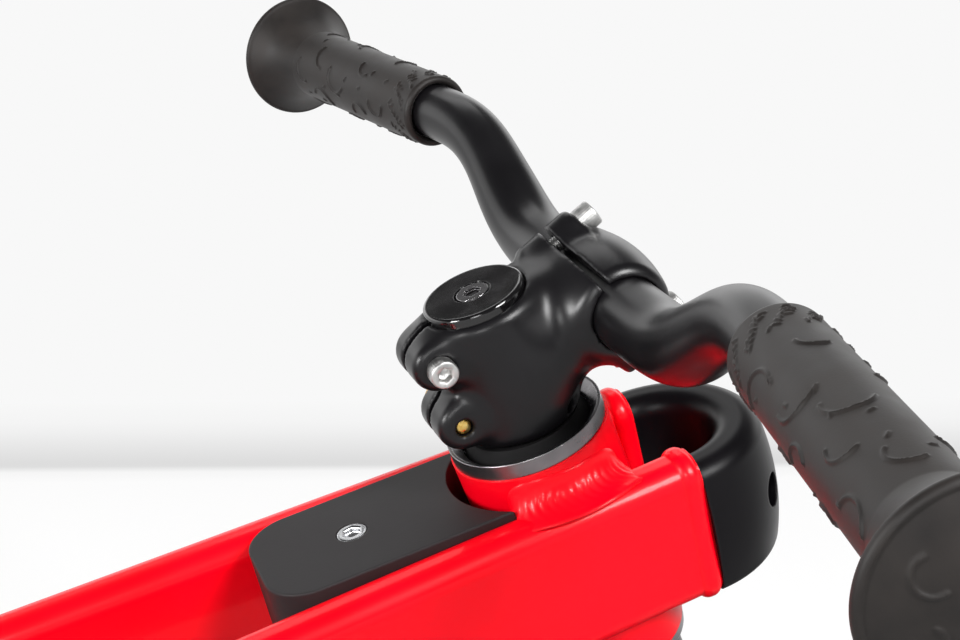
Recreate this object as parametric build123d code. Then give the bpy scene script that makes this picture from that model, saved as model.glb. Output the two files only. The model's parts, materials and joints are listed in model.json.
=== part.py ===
from build123d import *
import os
from math import cos, radians, sin, tan

# Balance bike with 12 inch wheels, in millimetres and degrees.
# +X is forward, +Y is the rider's left, +Z is up, and the ground is z = 0 below mid-wheelbase.

# Stance and wheels
wheelbase = 560.0
tyre_radius = 152.5
tyre_width = 48.0
tyre_groove_width = 3.0
tyre_groove_depth = 2.5
rim_bead_radius = 101.5
rim_flange_height = 5.5
rim_flange_wall = 2.0
rim_width = 33.0
rim_depth = 8.5
spoke_count = 16
spoke_radius = 1.1
spoke_lean = 12.0
spoke_rim_offset = 4.0
hub_shell_radius = 13.0
hub_flange_radius = 22.0
hub_flange_width = 3.2
hub_flange_inset = 12.0
hub_end_gap = 0.3
hub_end_inset = 6.0
hub_boss_radius = 10.0
axle_radius = 4.75
axle_play = 0.05
axle_cone_radius = 8.0
axle_tip_radius = 4.0
axle_tip_length = 6.0
washer_radius = 10.0
washer_thickness = 1.6
nut_across_flats = 15.0
nut_height = 8.0
valve_place = 3.5
valve_radius = 3.9
valve_length = 28.0
valve_cap_radius = 4.6
valve_cap_length = 11.0

# Steering geometry
head_angle = 69.3
fork_rake = 28.0
fork_length = 208.0
lower_stack = 6.0
head_tube_length = 79.0
head_tube_radius = 25.0
head_tube_bore = 22.0
steerer_radius = 14.3
steerer_wall = 2.0
bearing_play = 0.05
cup_lip_radius = 24.5
cup_lip_height = 5.0
cup_lip_wall = 3.9
cup_skirt_wall = 1.5
cup_skirt_depth = 10.0
cup_ledge = 2.5
cup_ledge_height = 2.0
bearing_height = 6.0
part_gap = 0.4
lower_lip_height = 3.2
race_flange_radius = 20.0
race_flange_height = 2.2
cover_top_radius = 17.6

# Fork
crown_radius = 21.0
crown_height = 22.0
leg_radius = 11.0
leg_spread = 47.0
leg_drop = 18.0
leg_root = 6.0
leg_bend_radius = 26.0
leg_end = 22.0
tip_thickness = 5.0
tip_width = 18.0
tip_radius = 13.0
tip_insert = 12.0

# Stem, cap and clamp
cap_rise = 50.3
cap_radius = 15.5
cap_thickness = 3.0
cap_edge = 1.1
cap_recess_radius = 5.6
cap_recess_depth = 1.4
cap_bolt_radius = 3.0
cap_bolt_head = 4.9
cap_bolt_length = 30.0
star_nut_height = 6.0
star_nut_depth = 24.0
stem_radius = 17.6
stem_reach = 35.7
bar_drop = 18.5
clamp_radius = 17.0
clamp_end_radius = 13.8
clamp_width = 44.0
clamp_gap = 2.4
clamp_tilt = 17.0
lug_height = 37.0
lug_depth = 10.5
lug_end_height = 11.0
lug_shoulder = 3.0
lug_round = 7.0
neck_start = 4.0
neck_rise = 5.0
neck_width = 34.0
neck_waist_place = 17.0
neck_waist_width = 31.0
neck_waist_height = 34.0
neck_height = 28.0
neck_end_width = 40.0
stem_blend = 11.0
neck_blend = 5.0
ear_blend = 1.8
clamp_edge = 2.2
pinch_setback = 19.3
pinch_drop_upper = 12.0
pinch_drop_lower = 33.0
pinch_boss_radius = 7.6
pinch_boss_right = 11.5
pinch_boss_left = 9.5
pinch_slot = 2.4
pinch_edge = 2.0
bolt_radius = 2.5
bolt_head_radius = 4.25
bolt_head_height = 5.0
bolt_end_inset = 1.0
bolt_socket_radius = 2.0
bolt_socket_depth = 2.6
face_bolt_offset = 14.2
face_bolt_side = 12.5
face_bolt_head = 6.0
face_bolt_grip = 12.0
face_bolt_seat = 9.6
face_bolt_room = 0.5

# Handlebar and grips
bar_clamp_radius = 11.1
bar_free_radius = 11.0
bar_grip_radius = 9.5
bar_straight = 58.0
bar_bend_out = 95.0
bar_rise = 27.0
bar_set_back = 3.4
bar_bend_radius = 50.0
bar_back_sweep = 11.25
grip_start = 27.7
grip_length = 110.0
grip_inner_radius = 12.6
grip_outer_radius = 13.0
grip_edge = 1.5
grip_flare_start = 91.0
grip_flare_sag = 3.0
flange_radius = 22.4
flange_rim = 3.0
flange_dome = 5.0
grip_cap = 4.0

# Frame rails, bumper and cover
rail_slope = 13.46
rail_splay = 2.41
rail_offset = 26.1
rail_width = 16.0
rail_depth = 48.2
rail_round = 7.0
rail_front = 38.0
head_tube_stand = 12.8
stay_angle = 60.0
stay_width = 44.0
stay_end = 30.0
stay_outer_bend = 110.0
stay_inner_bend = 60.0
end_trim = 20.0
bead_length = 7.0
bead_swell = 1.4
bead_round = 3.2
bumper_drop = 2.5
bumper_depth = 45.0
bumper_wall = 14.0
bumper_bulge = 3.0
bumper_top_round = 6.5
bumper_hole_radius = 5.5
bumper_hole_depth = 4.0
bumper_hole_angle = 41.0
bumper_hole_drop = 25.5
cover_front = 2.0
cover_back = 92.0
cover_half_width = 23.3
cover_raise = 2.5
cover_depth = 26.0
cover_corner = 14.0
cover_edge = 0.6
cover_head_gap = 4.2
cover_screw_back = 62.0
cover_screw_radius = 4.9
cover_screw_head = 2.6
cover_screw_shank = 2.5
cover_screw_length = 20.0
cover_screw_socket = 2.0

# Seat tube, post and saddle
seat_ahead = 143.0
seat_angle = 72.0
seat_tube_radius = 17.0
seat_tube_below = 60.0
seat_tube_above = 24.0
post_radius = 13.6
post_play = 0.05
post_below = 90.0
post_above = 58.0
bridge_length = 46.0
bridge_thickness = 6.0
bridge_inset = 12.0
collar_wall = 3.6
collar_height = 14.0
collar_slit = 3.0
collar_ear_length = 13.0
collar_ear_wall = 6.0
stud_radius = 3.0
stud_head_radius = 6.0
stud_head_height = 4.0
lever_cam_radius = 7.0
lever_pin_radius = 2.5
lever_width = 11.0
lever_thickness = 4.5
lever_reach = 46.0
lever_gap = 0.4
lever_heel_share = 0.8
saddle_length = 222.0
saddle_width = 128.0
saddle_set_back = 26.0
saddle_crown = 31.0
saddle_side = 20.0
shell_thickness = 4.0
shell_inset = 3.0
rail_wire_radius = 3.5
rail_wire_spread = 22.0
rail_wire_drop = 20.0
rail_wire_bend = 14.0
rail_wire_back = 76.0
rail_wire_front = 70.0
cradle_length = 38.0
cradle_height = 14.0
clamp_plate_height = 8.0
cradle_margin = 8.0
seat_bolt_radius = 3.0
seat_bolt_head = 5.0
seat_bolt_head_height = 5.0
bolt_end_inset = 1.0

# Rear dropouts
dropout_thickness = 6.0
dropout_width = 30.0
dropout_radius = 15.0

# Small shares and edges
overrun = 1.0
head_edge_share = 0.16
lip_bevel_share = 0.75
crown_edge = 4.0
bumper_low_round = 4.0
cover_screw_edge = 0.8
collar_ear_round = 2.0
stud_rise = 1.0
post_sink_share = 0.65
seat_bolt_grip = 6.0
tyre_shoulder_drop = 9.0
tyre_shoulder_share = 0.62
tyre_groove_place = 7.0
saddle_shoulder_share = 0.84
saddle_stations = [
    (0.0, 0.52, 0.55),
    (0.07, 0.84, 0.9),
    (0.22, 1.0, 1.0),
    (0.45, 0.74, 0.96),
    (0.7, 0.39, 0.9),
    (0.93, 0.33, 0.82),
    (1.0, 0.24, 0.5),
]

UP = (Align.CENTER, Align.CENTER, Align.MIN)


def rod(radius, low, high):
    return Pos(0, 0, low) * Cylinder(radius, high - low, align=UP)


def sleeve(outer, inner, low, high):
    return rod(outer, low, high) - rod(inner, low, high)


def turned(*points):
    # Solid of revolution about Z from (radius, height) points
    outline = make_face(Polyline(*[(r, 0, z) for r, z in points], close=True))
    return revolve(outline, Axis.Z)


def across(shape):
    # Turns a piece built about Z so that its axis is Y and its top faces the rider's left
    return Rot(-90, 0, 0) * shape


def hexagon(across_flats, low, high):
    face = RegularPolygon(across_flats / 2, 6, major_radius=False)
    return Pos(0, 0, low) * extrude(face, high - low)


def socket_screw(head_radius, head_height, shank_radius, shank_length):
    # Cap screw along Z: the head stands above z = 0 with a hexagon socket, the shank goes below
    head = rod(head_radius, 0, head_height)
    head = fillet(head.edges().group_by(Axis.Z)[-1], head_height * head_edge_share)
    head -= hexagon(2 * bolt_socket_radius, head_height - bolt_socket_depth, head_height)
    return head + rod(shank_radius, -shank_length, 0)


def meet(p, u, q, v):
    # Crossing of two lines in a plane, each given by a point and a direction
    cross = u[0] * v[1] - u[1] * v[0]
    k = ((q[0] - p[0]) * v[1] - (q[1] - p[1]) * v[0]) / cross
    return (p[0] + k * u[0], p[1] + k * u[1])


def step(p, u, k):
    return (p[0] + k * u[0], p[1] + k * u[1])


# Steering frame: local Z runs up the steering axis and local X points forward
lean = radians(head_angle)
axis_up = Vector(-cos(lean), 0, sin(lean))
axis_forward = Vector(sin(lean), 0, cos(lean))
front_axle = Vector(wheelbase / 2, 0, tyre_radius)
rear_axle = Vector(-wheelbase / 2, 0, tyre_radius)
steer = Plane(origin=front_axle - axis_forward * fork_rake, x_dir=axis_forward, z_dir=axis_up)
head_low = fork_length + lower_stack
head_top = head_low + head_tube_length
stem_low = head_top + cup_lip_height + part_gap
cap_top = head_top + cap_rise
stem_top = cap_top - cap_thickness
bar_height = cap_top - bar_drop
bar_center = steer.from_local_coords((stem_reach, 0, bar_height))


def on_steering(shape):
    return steer.location * shape


# Rail frame: the top edges of both rails cross the steering axis at the root point
slope = radians(rail_slope)
splay = radians(rail_splay)
along = Vector(cos(slope), 0, sin(slope))
normal = Vector(-sin(slope), 0, cos(slope))
rail_root = steer.from_local_coords((0, 0, head_top - head_tube_stand))
rail_plane = Plane(origin=rail_root, x_dir=along, z_dir=normal)
front_plane = Plane(origin=rail_root + along * rail_front, x_dir=(0, 1, 0), z_dir=along)
stay = (cos(radians(stay_angle)), sin(radians(stay_angle)))


def rail_middle(x):
    return rail_offset + (rail_root.X - x) * tan(splay)


def half_space(plane, size):
    return plane.location * Box(size, size, size, align=UP)


def plain_rail(side):
    # Deep flat-oval rail with the stay that drops to the rear axle
    plan = Vector(cos(splay), -side * sin(splay), 0)
    outward = Vector(-side * sin(splay), -cos(splay), 0)
    plane = Plane(origin=(rail_root.X, side * rail_offset, rail_root.Z), x_dir=plan, z_dir=outward)
    up = (cos(slope), sin(slope))
    down = (sin(slope), -cos(slope))
    aside = (-stay[1], stay[0])
    axle = ((rear_axle.X - rail_root.X) / cos(splay), rear_axle.Z - rail_root.Z)
    top = step((0, 0), up, rail_front + end_trim)
    low = step(top, down, rail_depth)
    back_edge = step(axle, aside, stay_width / 2)
    front_edge = step(axle, aside, -stay_width / 2)
    outer = meet(top, up, back_edge, stay)
    inner = meet(low, up, front_edge, stay)
    face = make_face(Polyline(top, outer, back_edge, front_edge, inner, low, close=True))
    face = fillet(face.vertices().sort_by_distance((*outer, 0))[0], stay_outer_bend)
    face = fillet(face.vertices().sort_by_distance((*inner, 0))[0], stay_inner_bend)
    solid = extrude(plane * face, rail_width / 2, both=True)
    solid = fillet(solid.faces().filter_by(Axis((0, 0, 0), outward)).edges(), rail_round)
    cut = rear_axle + Vector(stay[0], 0, stay[1]) * stay_end
    end_plane = Plane(origin=cut, x_dir=(0, 1, 0), z_dir=(-stay[0], 0, -stay[1]))
    return solid - half_space(end_plane, 8 * end_trim) - half_space(front_plane, 8 * end_trim)


head_tube = on_steering(sleeve(head_tube_radius, head_tube_bore, head_low, head_top))
head_space = on_steering(rod(head_tube_radius, head_low, head_top))
plain_rails = {side: plain_rail(side) for side in (1, -1)}
front_x = front_plane.origin.X


def finished_rail(side):
    # The front end carries a swollen bead, and the head tube is let into the inner face
    middle = front_plane.origin - normal * rail_depth / 2 + Vector(0, side * rail_middle(front_x), 0)
    plane = Plane(origin=middle, x_dir=(0, 1, 0), z_dir=-along)
    width = rail_width + 2 * bead_swell
    depth = rail_depth + 2 * bead_swell
    bead = extrude(plane * RectangleRounded(width, depth, rail_round + bead_swell), bead_length)
    rims = bead.faces().filter_by(Axis((0, 0, 0), along)).edges()
    return plain_rails[side] + fillet(rims, bead_round) - head_space


def make_bumper():
    # Loop that joins the rail ends in front of the head tube, turned from one section
    middle = rail_middle(front_x)
    inner = middle - bumper_wall / 2
    outer = middle + bumper_wall / 2
    low = -bumper_drop - bumper_depth
    edges = [
        Polyline((outer, low), (inner, low), (inner, -bumper_drop), (outer, -bumper_drop)),
        ThreePointArc((outer, -bumper_drop), (outer + bumper_bulge, low / 2), (outer, low)),
    ]
    face = make_face(edges)
    upper = face.vertices().group_by(Axis.Y)[-1]
    face = fillet(upper, bumper_top_round)
    lower = face.vertices().group_by(Axis.Y)[0]
    face = fillet(lower, bumper_low_round)
    loop = revolve(front_plane * face, Axis(front_plane.origin, -normal), 180)
    for side in (1, -1):
        turn = radians(bumper_hole_angle)
        radial = along * cos(turn) + Vector(0, side * sin(turn), 0)
        mouth = front_plane.origin + radial * (outer + 2 * bumper_bulge) - normal * bumper_hole_drop
        drill = Plane(origin=mouth, z_dir=-radial)
        loop -= drill.location * rod(bumper_hole_radius, 0, 2 * bumper_bulge + bumper_hole_depth)
    return loop


def make_cover():
    # Infill block between the rails, hollowed round the head tube, with a screw near its middle
    face = make_face(
        Polyline(
            (cover_front, cover_half_width),
            (-cover_back, cover_half_width),
            (-cover_back, -cover_half_width),
            (cover_front, -cover_half_width),
            close=True,
        )
    )
    face = fillet(face.vertices().group_by(Axis.X)[0], cover_corner)
    block = Pos(0, 0, -cover_depth) * extrude(face, cover_depth + cover_raise)
    block = fillet(block.edges().group_by(Axis.Z)[-1], cover_edge)
    block -= Pos(-cover_screw_back, 0, cover_raise) * rod(cover_screw_radius, -cover_screw_head, overrun)
    block -= Pos(-cover_screw_back, 0, cover_raise) * rod(cover_screw_shank, -cover_screw_length, 0)
    block = rail_plane.location * block
    clear = on_steering(rod(head_tube_radius + cover_head_gap, head_low, head_top + cap_rise))
    return block - clear - plain_rails[1] - plain_rails[-1]


def make_cover_screw():
    screw = rod(cover_screw_radius, -cover_screw_head, 0)
    screw = fillet(screw.edges().group_by(Axis.Z)[-1], cover_screw_edge)
    screw -= hexagon(2 * cover_screw_socket, -cover_screw_head / 2, 0)
    screw += rod(cover_screw_shank, -cover_screw_length, -cover_screw_head)
    return rail_plane.location * (Pos(-cover_screw_back, 0, cover_raise) * screw)


# Headset: the cups are pressed into the head tube and the bearings sit on their ledges
cup_inner = head_tube_bore - cup_skirt_wall
ledge_inner = cup_inner - cup_ledge
lip_inner = cup_lip_radius - cup_lip_wall


def make_upper_cup():
    lip = sleeve(cup_lip_radius, lip_inner, head_top, head_top + cup_lip_height)
    inside = lip.edges().group_by(Axis.Z)[-1].sort_by(SortBy.LENGTH)[0]
    lip = chamfer(inside, cup_lip_wall * lip_bevel_share)
    skirt = sleeve(head_tube_bore, cup_inner, head_top - cup_skirt_depth, head_top)
    low = head_top - cup_skirt_depth
    ledge = sleeve(cup_inner, ledge_inner, low, low + cup_ledge_height)
    return on_steering(lip + skirt + ledge)


def make_lower_cup():
    lip = sleeve(cup_lip_radius, lip_inner, head_low - lower_lip_height, head_low)
    skirt = sleeve(head_tube_bore, cup_inner, head_low, head_low + cup_skirt_depth)
    high = head_low + cup_skirt_depth
    ledge = sleeve(cup_inner, ledge_inner, high - cup_ledge_height, high)
    return on_steering(lip + skirt + ledge)


bearing_bore = steerer_radius + bearing_play
upper_bearing_low = head_top - cup_skirt_depth + cup_ledge_height
lower_bearing_high = head_low + cup_skirt_depth - cup_ledge_height


def make_bearing(low):
    return on_steering(sleeve(cup_inner, bearing_bore, low, low + bearing_height))


def make_dust_cover():
    # Dished cover that turns with the stem inside the upper cup's lip
    edge = lip_inner - part_gap
    low = upper_bearing_low + bearing_height + part_gap
    return on_steering(
        turned(
            (steerer_radius, low),
            (edge, low),
            (edge, head_top + part_gap),
            (cover_top_radius, stem_low),
            (steerer_radius, stem_low),
        )
    )


def make_crown_race():
    high = lower_bearing_high - bearing_height - part_gap
    return on_steering(
        turned(
            (steerer_radius, fork_length),
            (race_flange_radius, fork_length),
            (race_flange_radius, fork_length + race_flange_height),
            (ledge_inner - part_gap, fork_length + race_flange_height),
            (ledge_inner - part_gap, high),
            (steerer_radius, high),
        )
    )


# Fork: crown, two bent legs and flat tips, with the front axle at local (rake, 0, 0)
crown_low = fork_length - crown_height
steerer_high = stem_top - part_gap


def make_steerer():
    return on_steering(sleeve(steerer_radius, steerer_radius - steerer_wall, crown_low, steerer_high))


def make_crown():
    crown = rod(crown_radius, crown_low, fork_length)
    crown = fillet(crown.edges().group_by(Axis.Z)[0], crown_edge)
    return on_steering(crown - rod(steerer_radius, crown_low, fork_length))


def axle_plate(width, radius, length, thickness):
    # Flat end plate with a slot for the axle, from the axle at the origin up local X
    face = Pos(length / 2, 0) * Rectangle(length, width) + Circle(radius)
    face -= Circle(axle_radius) + Pos(-radius, 0) * Rectangle(2 * radius, 2 * axle_radius)
    return extrude(face, thickness / 2, both=True)


leg_knee = Vector(0, 0, fork_length - crown_height / 2 - leg_drop)
leg_way = (leg_knee - Vector(fork_rake, 0, 0)).normalized()
leg_foot = Vector(fork_rake, 0, 0) + leg_way * leg_end


def tip_plane(side):
    return Plane(origin=(fork_rake, side * leg_spread, 0), x_dir=leg_way, z_dir=(0, 1, 0))


def make_tip(side):
    plate = axle_plate(tip_width, tip_radius, leg_end + tip_insert, tip_thickness)
    return on_steering(tip_plane(side).location * plate)


def make_leg(side):
    root = (0, side * leg_root, fork_length - crown_height / 2)
    aside = Vector(0, side * leg_spread, 0)
    path = FilletPolyline(root, leg_knee + aside, leg_foot + aside, radius=leg_bend_radius)
    leg = sweep(Plane(origin=root, z_dir=path % 0) * Circle(leg_radius), path=path)
    leg -= rod(crown_radius, crown_low, fork_length)
    return on_steering(leg) - make_tip(side)


# Stem, built about the steering axis
clamp_turn = radians(clamp_tilt)
clamp_out = Vector(cos(clamp_turn), 0, sin(clamp_turn))
split_plane = Plane(origin=(stem_reach, 0, bar_height), x_dir=(0, 1, 0), z_dir=clamp_out)
pinch_heights = (cap_top - pinch_drop_upper, cap_top - pinch_drop_lower)


def split_space(distance, direction):
    # Everything beyond the given distance from the bar's axis, across the clamp's split
    origin = split_plane.origin + clamp_out * distance
    return half_space(Plane(origin=origin, z_dir=clamp_out * direction), 4 * clamp_width)


def clamp_solid():
    # Barrel-shaped bar clamp with a hump over each face bolt
    half = clamp_width / 2
    high = lug_height / 2
    outline = make_face(
        [
            Polyline((clamp_end_radius, half), (0, half), (0, -half), (clamp_end_radius, -half)),
            ThreePointArc((clamp_end_radius, -half), (clamp_radius, 0), (clamp_end_radius, half)),
        ]
    )
    barrel = revolve(Plane.XZ * outline, Axis.Z)
    rims = barrel.edges().group_by(Axis.Z)
    barrel = fillet(rims[0] + rims[-1], clamp_edge)
    face = make_face(
        Polyline(
            (-half, lug_end_height),
            (-lug_shoulder, high),
            (half, high),
            (half, -lug_end_height),
            (lug_shoulder, -high),
            (-half, -high),
            close=True,
        )
    )
    face = fillet(face.vertices(), lug_round)
    lug = extrude(face, lug_depth, both=True)
    lug = fillet(lug.faces().filter_by(Axis.Z).edges(), clamp_edge)
    return Pos(stem_reach, 0, bar_height) * across(barrel) + split_plane.location * lug


def bar_bore():
    return Pos(stem_reach, 0, bar_height) * across(rod(bar_clamp_radius, -clamp_width, clamp_width))


def face_bolt_axis(high):
    # The upper face bolt is towards the rider's left and the lower one towards the right
    spot = (high * face_bolt_side, high * face_bolt_offset, 0)
    return split_plane.location * Pos(*spot)


def neck_section(x, width, low, high):
    plane = Plane(origin=(x, 0, (low + high) / 2), x_dir=(0, 1, 0), z_dir=(1, 0, 0))
    return plane * RectangleRounded(width, high - low, stem_blend)


def make_neck():
    # The neck draws in behind the bar clamp and spreads again to meet it
    low = stem_low + neck_rise
    high = stem_top - cap_edge
    root = neck_section(neck_start, neck_width, low, high)
    middle = ((low + high) / 2 + bar_height) / 2
    half = neck_waist_height / 2
    waist = neck_section(neck_waist_place, neck_waist_width, middle - half, middle + half)
    half = neck_height / 2
    tip = neck_section(stem_reach - neck_start, neck_end_width, bar_height - half, bar_height + half)
    return loft([root, waist, tip])


def pinch_ear(height):
    # Rounded ear that carries one pinch bolt behind the post
    length = pinch_boss_right + pinch_boss_left
    boss = rod(pinch_boss_radius, -pinch_boss_right, pinch_boss_left)
    boss = across(fillet(boss.edges().filter_by(GeomType.CIRCLE), pinch_edge))
    web = Box(pinch_setback, length, 2 * pinch_boss_radius)
    web = fillet(web.edges().filter_by(Axis.X), pinch_edge)
    web = Pos(pinch_setback / 2, (pinch_boss_left - pinch_boss_right) / 2, 0) * web
    return Pos(-pinch_setback, 0, height) * (boss + web)


def make_stem():
    post = rod(stem_radius, stem_low, stem_top)
    post = fillet(post.edges().group_by(Axis.Z)[-1], cap_edge)
    ears = [pinch_ear(height) for height in pinch_heights]
    body = post + ears
    body = fillet(new_edges(post, *ears, combined=body), ear_blend)
    neck = make_neck()
    whole = body + neck
    body = fillet(new_edges(body, neck, combined=whole), neck_blend) + clamp_solid()
    body -= split_space(-clamp_gap / 2, 1)
    body -= rod(steerer_radius, stem_low, stem_top)
    body -= bar_bore()
    slot = Box(2 * pinch_setback, pinch_slot, 2 * cap_rise)
    body -= Pos(-pinch_setback - steerer_radius / 2, 0, stem_low) * slot
    for height in pinch_heights:
        body -= Pos(-pinch_setback, 0, height) * across(rod(bolt_radius, -clamp_width, clamp_width))
    for high in (1, -1):
        body -= face_bolt_axis(high) * rod(bolt_radius, -face_bolt_grip, 0)
    return on_steering(body)


def make_faceplate():
    plate = clamp_solid() - split_space(clamp_gap / 2, -1) - bar_bore()
    for high in (1, -1):
        axis = face_bolt_axis(high)
        plate -= axis * rod(bolt_radius, 0, lug_depth)
        plate -= axis * rod(bolt_head_radius + face_bolt_room, face_bolt_seat, 2 * clamp_radius)
    return on_steering(plate)


def make_pinch_bolts():
    # The upper screw goes in from the rider's right and the lower one from the left
    length = pinch_boss_right + pinch_boss_left
    screw = socket_screw(bolt_head_radius, bolt_head_height, bolt_radius, length - bolt_end_inset)
    upper = Pos(-pinch_setback, -pinch_boss_right, pinch_heights[0]) * (Rot(90, 0, 0) * screw)
    lower = Pos(-pinch_setback, pinch_boss_left, pinch_heights[1]) * (Rot(-90, 0, 0) * screw)
    return on_steering(upper + lower)


def make_face_bolts():
    length = face_bolt_seat + face_bolt_grip
    screw = Pos(0, 0, face_bolt_seat) * socket_screw(bolt_head_radius, face_bolt_head, bolt_radius, length)
    return on_steering(face_bolt_axis(1) * screw + face_bolt_axis(-1) * screw)


def make_top_cap():
    cap = rod(cap_radius, stem_top, cap_top)
    cap = fillet(cap.edges().group_by(Axis.Z)[-1], cap_edge)
    cap -= rod(cap_recess_radius, cap_top - cap_recess_depth, cap_top)
    return on_steering(cap - rod(cap_bolt_radius, stem_top, cap_top))


def make_cap_bolt():
    seat = cap_top - cap_recess_depth
    head = rod(cap_bolt_head, seat, cap_top)
    head -= hexagon(cap_bolt_head, seat + cap_recess_depth / 3, cap_top)
    return on_steering(head + rod(cap_bolt_radius, cap_top - cap_bolt_length, seat))


def make_star_nut():
    high = cap_top - star_nut_depth
    inner = steerer_radius - steerer_wall
    return on_steering(sleeve(inner, cap_bolt_radius, high - star_nut_height, high))


# Handlebar: straight centre, rise and back sweep, on the bar clamp's axis
sweep_turn = radians(bar_back_sweep)
bar_points = [
    Vector(0, 0, 0),
    Vector(0, bar_straight, 0),
    Vector(-bar_set_back, bar_bend_out, bar_rise),
]
bar_ways = [
    Vector(0, 1, 0),
    (bar_points[2] - bar_points[1]).normalized(),
    Vector(-sin(sweep_turn), cos(sweep_turn), 0),
]
grip_origin = bar_points[2] + bar_ways[2] * grip_start
bar_end = bar_points[2] + bar_ways[2] * (grip_start + grip_length - grip_cap)


def tangent_reach(first, second):
    return bar_bend_radius * tan(radians(first.get_angle(second)) / 2)


def straight(start, end, radius_start, radius_end):
    length = (end - start).length
    piece = Cylinder(radius_start, length, align=UP)
    if radius_start != radius_end:
        piece = Cone(radius_start, radius_end, length, align=UP)
    return Plane(origin=start, z_dir=end - start).location * piece


def bend(start, end, way, radius):
    arc = TangentArc(start, end, tangent=way)
    return sweep(Plane(origin=start, z_dir=way) * Circle(radius), path=arc)


def make_handlebar():
    reach_low = tangent_reach(bar_ways[0], bar_ways[1])
    reach_high = tangent_reach(bar_ways[1], bar_ways[2])
    low_in = bar_points[1] - bar_ways[0] * reach_low
    low_out = bar_points[1] + bar_ways[1] * reach_low
    high_in = bar_points[2] - bar_ways[1] * reach_high
    high_out = bar_points[2] + bar_ways[2] * reach_high
    clamp_end = bar_ways[0] * (clamp_width / 2)
    half = straight(bar_points[0], clamp_end, bar_clamp_radius, bar_clamp_radius)
    half += straight(clamp_end, low_in, bar_free_radius, bar_free_radius)
    half += bend(low_in, low_out, bar_ways[0], bar_free_radius)
    half += straight(low_out, high_in, bar_free_radius, bar_grip_radius)
    half += bend(high_in, high_out, bar_ways[1], bar_grip_radius)
    half += straight(high_out, bar_end, bar_grip_radius, bar_grip_radius)
    return Pos(*bar_center) * (half + mirror(half, about=Plane.XZ))


def make_grip(side):
    # Rubber grip with a trumpet flare into a thick domed safety flange
    flare_mid = (grip_outer_radius + grip_flare_sag, (grip_flare_start + grip_length) / 2)
    rim = (flange_radius, grip_length + flange_rim)
    top = grip_length + flange_rim + flange_dome
    bottom = grip_length - grip_cap
    ball = (flange_radius**2 + flange_dome**2) / (2 * flange_dome)
    dome_radius = flange_radius / 2
    dome_mid = (dome_radius, top - ball + (ball**2 - dome_radius**2) ** 0.5)
    edges = [
        Polyline(
            (0, bottom),
            (bar_grip_radius, bottom),
            (bar_grip_radius, 0),
            (grip_inner_radius - grip_edge, 0),
            (grip_inner_radius, grip_edge),
            (grip_outer_radius, grip_flare_start),
        ),
        ThreePointArc((grip_outer_radius, grip_flare_start), flare_mid, (flange_radius, grip_length)),
        ThreePointArc(
            (flange_radius, grip_length),
            (flange_radius + flange_rim / 3, grip_length + flange_rim / 2),
            rim,
        ),
        ThreePointArc(rim, dome_mid, (0, top)),
        Line((0, top), (0, bottom)),
    ]
    grip = revolve(Plane.XZ * make_face(edges), Axis.Z)
    grip = Plane(origin=grip_origin, z_dir=bar_ways[2]).location * grip
    if side < 0:
        grip = mirror(grip, about=Plane.XZ)
    return Pos(*bar_center) * grip


# Wheels, built about Z and then laid across the bike
rim_inner = rim_bead_radius - rim_depth
rim_lip = rim_bead_radius + rim_flange_height


def make_rim():
    half = rim_width / 2
    seat = half - rim_flange_wall
    points = [
        (rim_inner, -half / 2),
        (rim_inner, half / 2),
        (rim_bead_radius - rim_flange_wall, half),
        (rim_lip, half),
        (rim_lip, seat),
        (rim_bead_radius, seat),
        (rim_bead_radius, -seat),
        (rim_lip, -seat),
        (rim_lip, -half),
        (rim_bead_radius - rim_flange_wall, -half),
    ]
    return turned(*points)


def make_tyre():
    # Tyre and tube as one body, seated between the rim flanges, with two tread grooves
    seat = rim_width / 2 - rim_flange_wall
    half = tyre_width / 2
    widest = (rim_lip + tyre_radius) / 2
    shoulder = (tyre_radius - tyre_shoulder_drop, half * tyre_shoulder_share)
    edges = [
        Polyline((rim_lip, -seat), (rim_bead_radius, -seat), (rim_bead_radius, seat), (rim_lip, seat)),
        ThreePointArc((rim_lip, seat), (widest, half), shoulder),
        ThreePointArc(shoulder, (tyre_radius, 0), (shoulder[0], -shoulder[1])),
        ThreePointArc((shoulder[0], -shoulder[1]), (widest, -half), (rim_lip, -seat)),
    ]
    tyre = revolve(Plane.XZ * make_face(edges), Axis.Z)
    for middle in (-tyre_groove_place, tyre_groove_place):
        low = middle - tyre_groove_width / 2
        tyre -= sleeve(tyre_radius + overrun, tyre_radius - tyre_groove_depth, low, low + tyre_groove_width)
    return tyre


def make_hub(inner_half):
    end = inner_half - hub_end_inset
    flange = inner_half - hub_flange_inset
    half = hub_flange_width / 2
    hub = rod(hub_boss_radius, -end, end) + rod(hub_shell_radius, -flange, flange)
    for side in (1, -1):
        hub += rod(hub_flange_radius, side * flange - half, side * flange + half)
    return hub - rod(axle_radius + axle_play, -end, end)


def make_spokes(inner_half, rim, hub):
    flange = inner_half - hub_flange_inset
    spokes = []
    for index in range(spoke_count):
        side = 1 if index % 2 == 0 else -1
        turn = 360 * index / spoke_count
        lean_turn = spoke_lean if index // 2 % 2 == 0 else -spoke_lean
        start = Vector(hub_flange_radius - overrun, 0, side * flange).rotate(Axis.Z, turn)
        end = Vector(rim_inner + overrun, 0, side * spoke_rim_offset).rotate(Axis.Z, turn + lean_turn)
        spokes.append(straight(start, end, spoke_radius, spoke_radius) - rim - hub)
    return Part() + spokes


def make_valve(rim):
    turn = 360 * valve_place / spoke_count
    stem = rod(valve_radius, rim_inner - valve_length, rim_inner + overrun)
    cap = rod(valve_cap_radius, rim_inner - valve_length, rim_inner - valve_length + valve_cap_length)
    return Rot(0, 0, turn) * (Rot(0, 90, 0) * (stem + cap)) - rim


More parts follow.
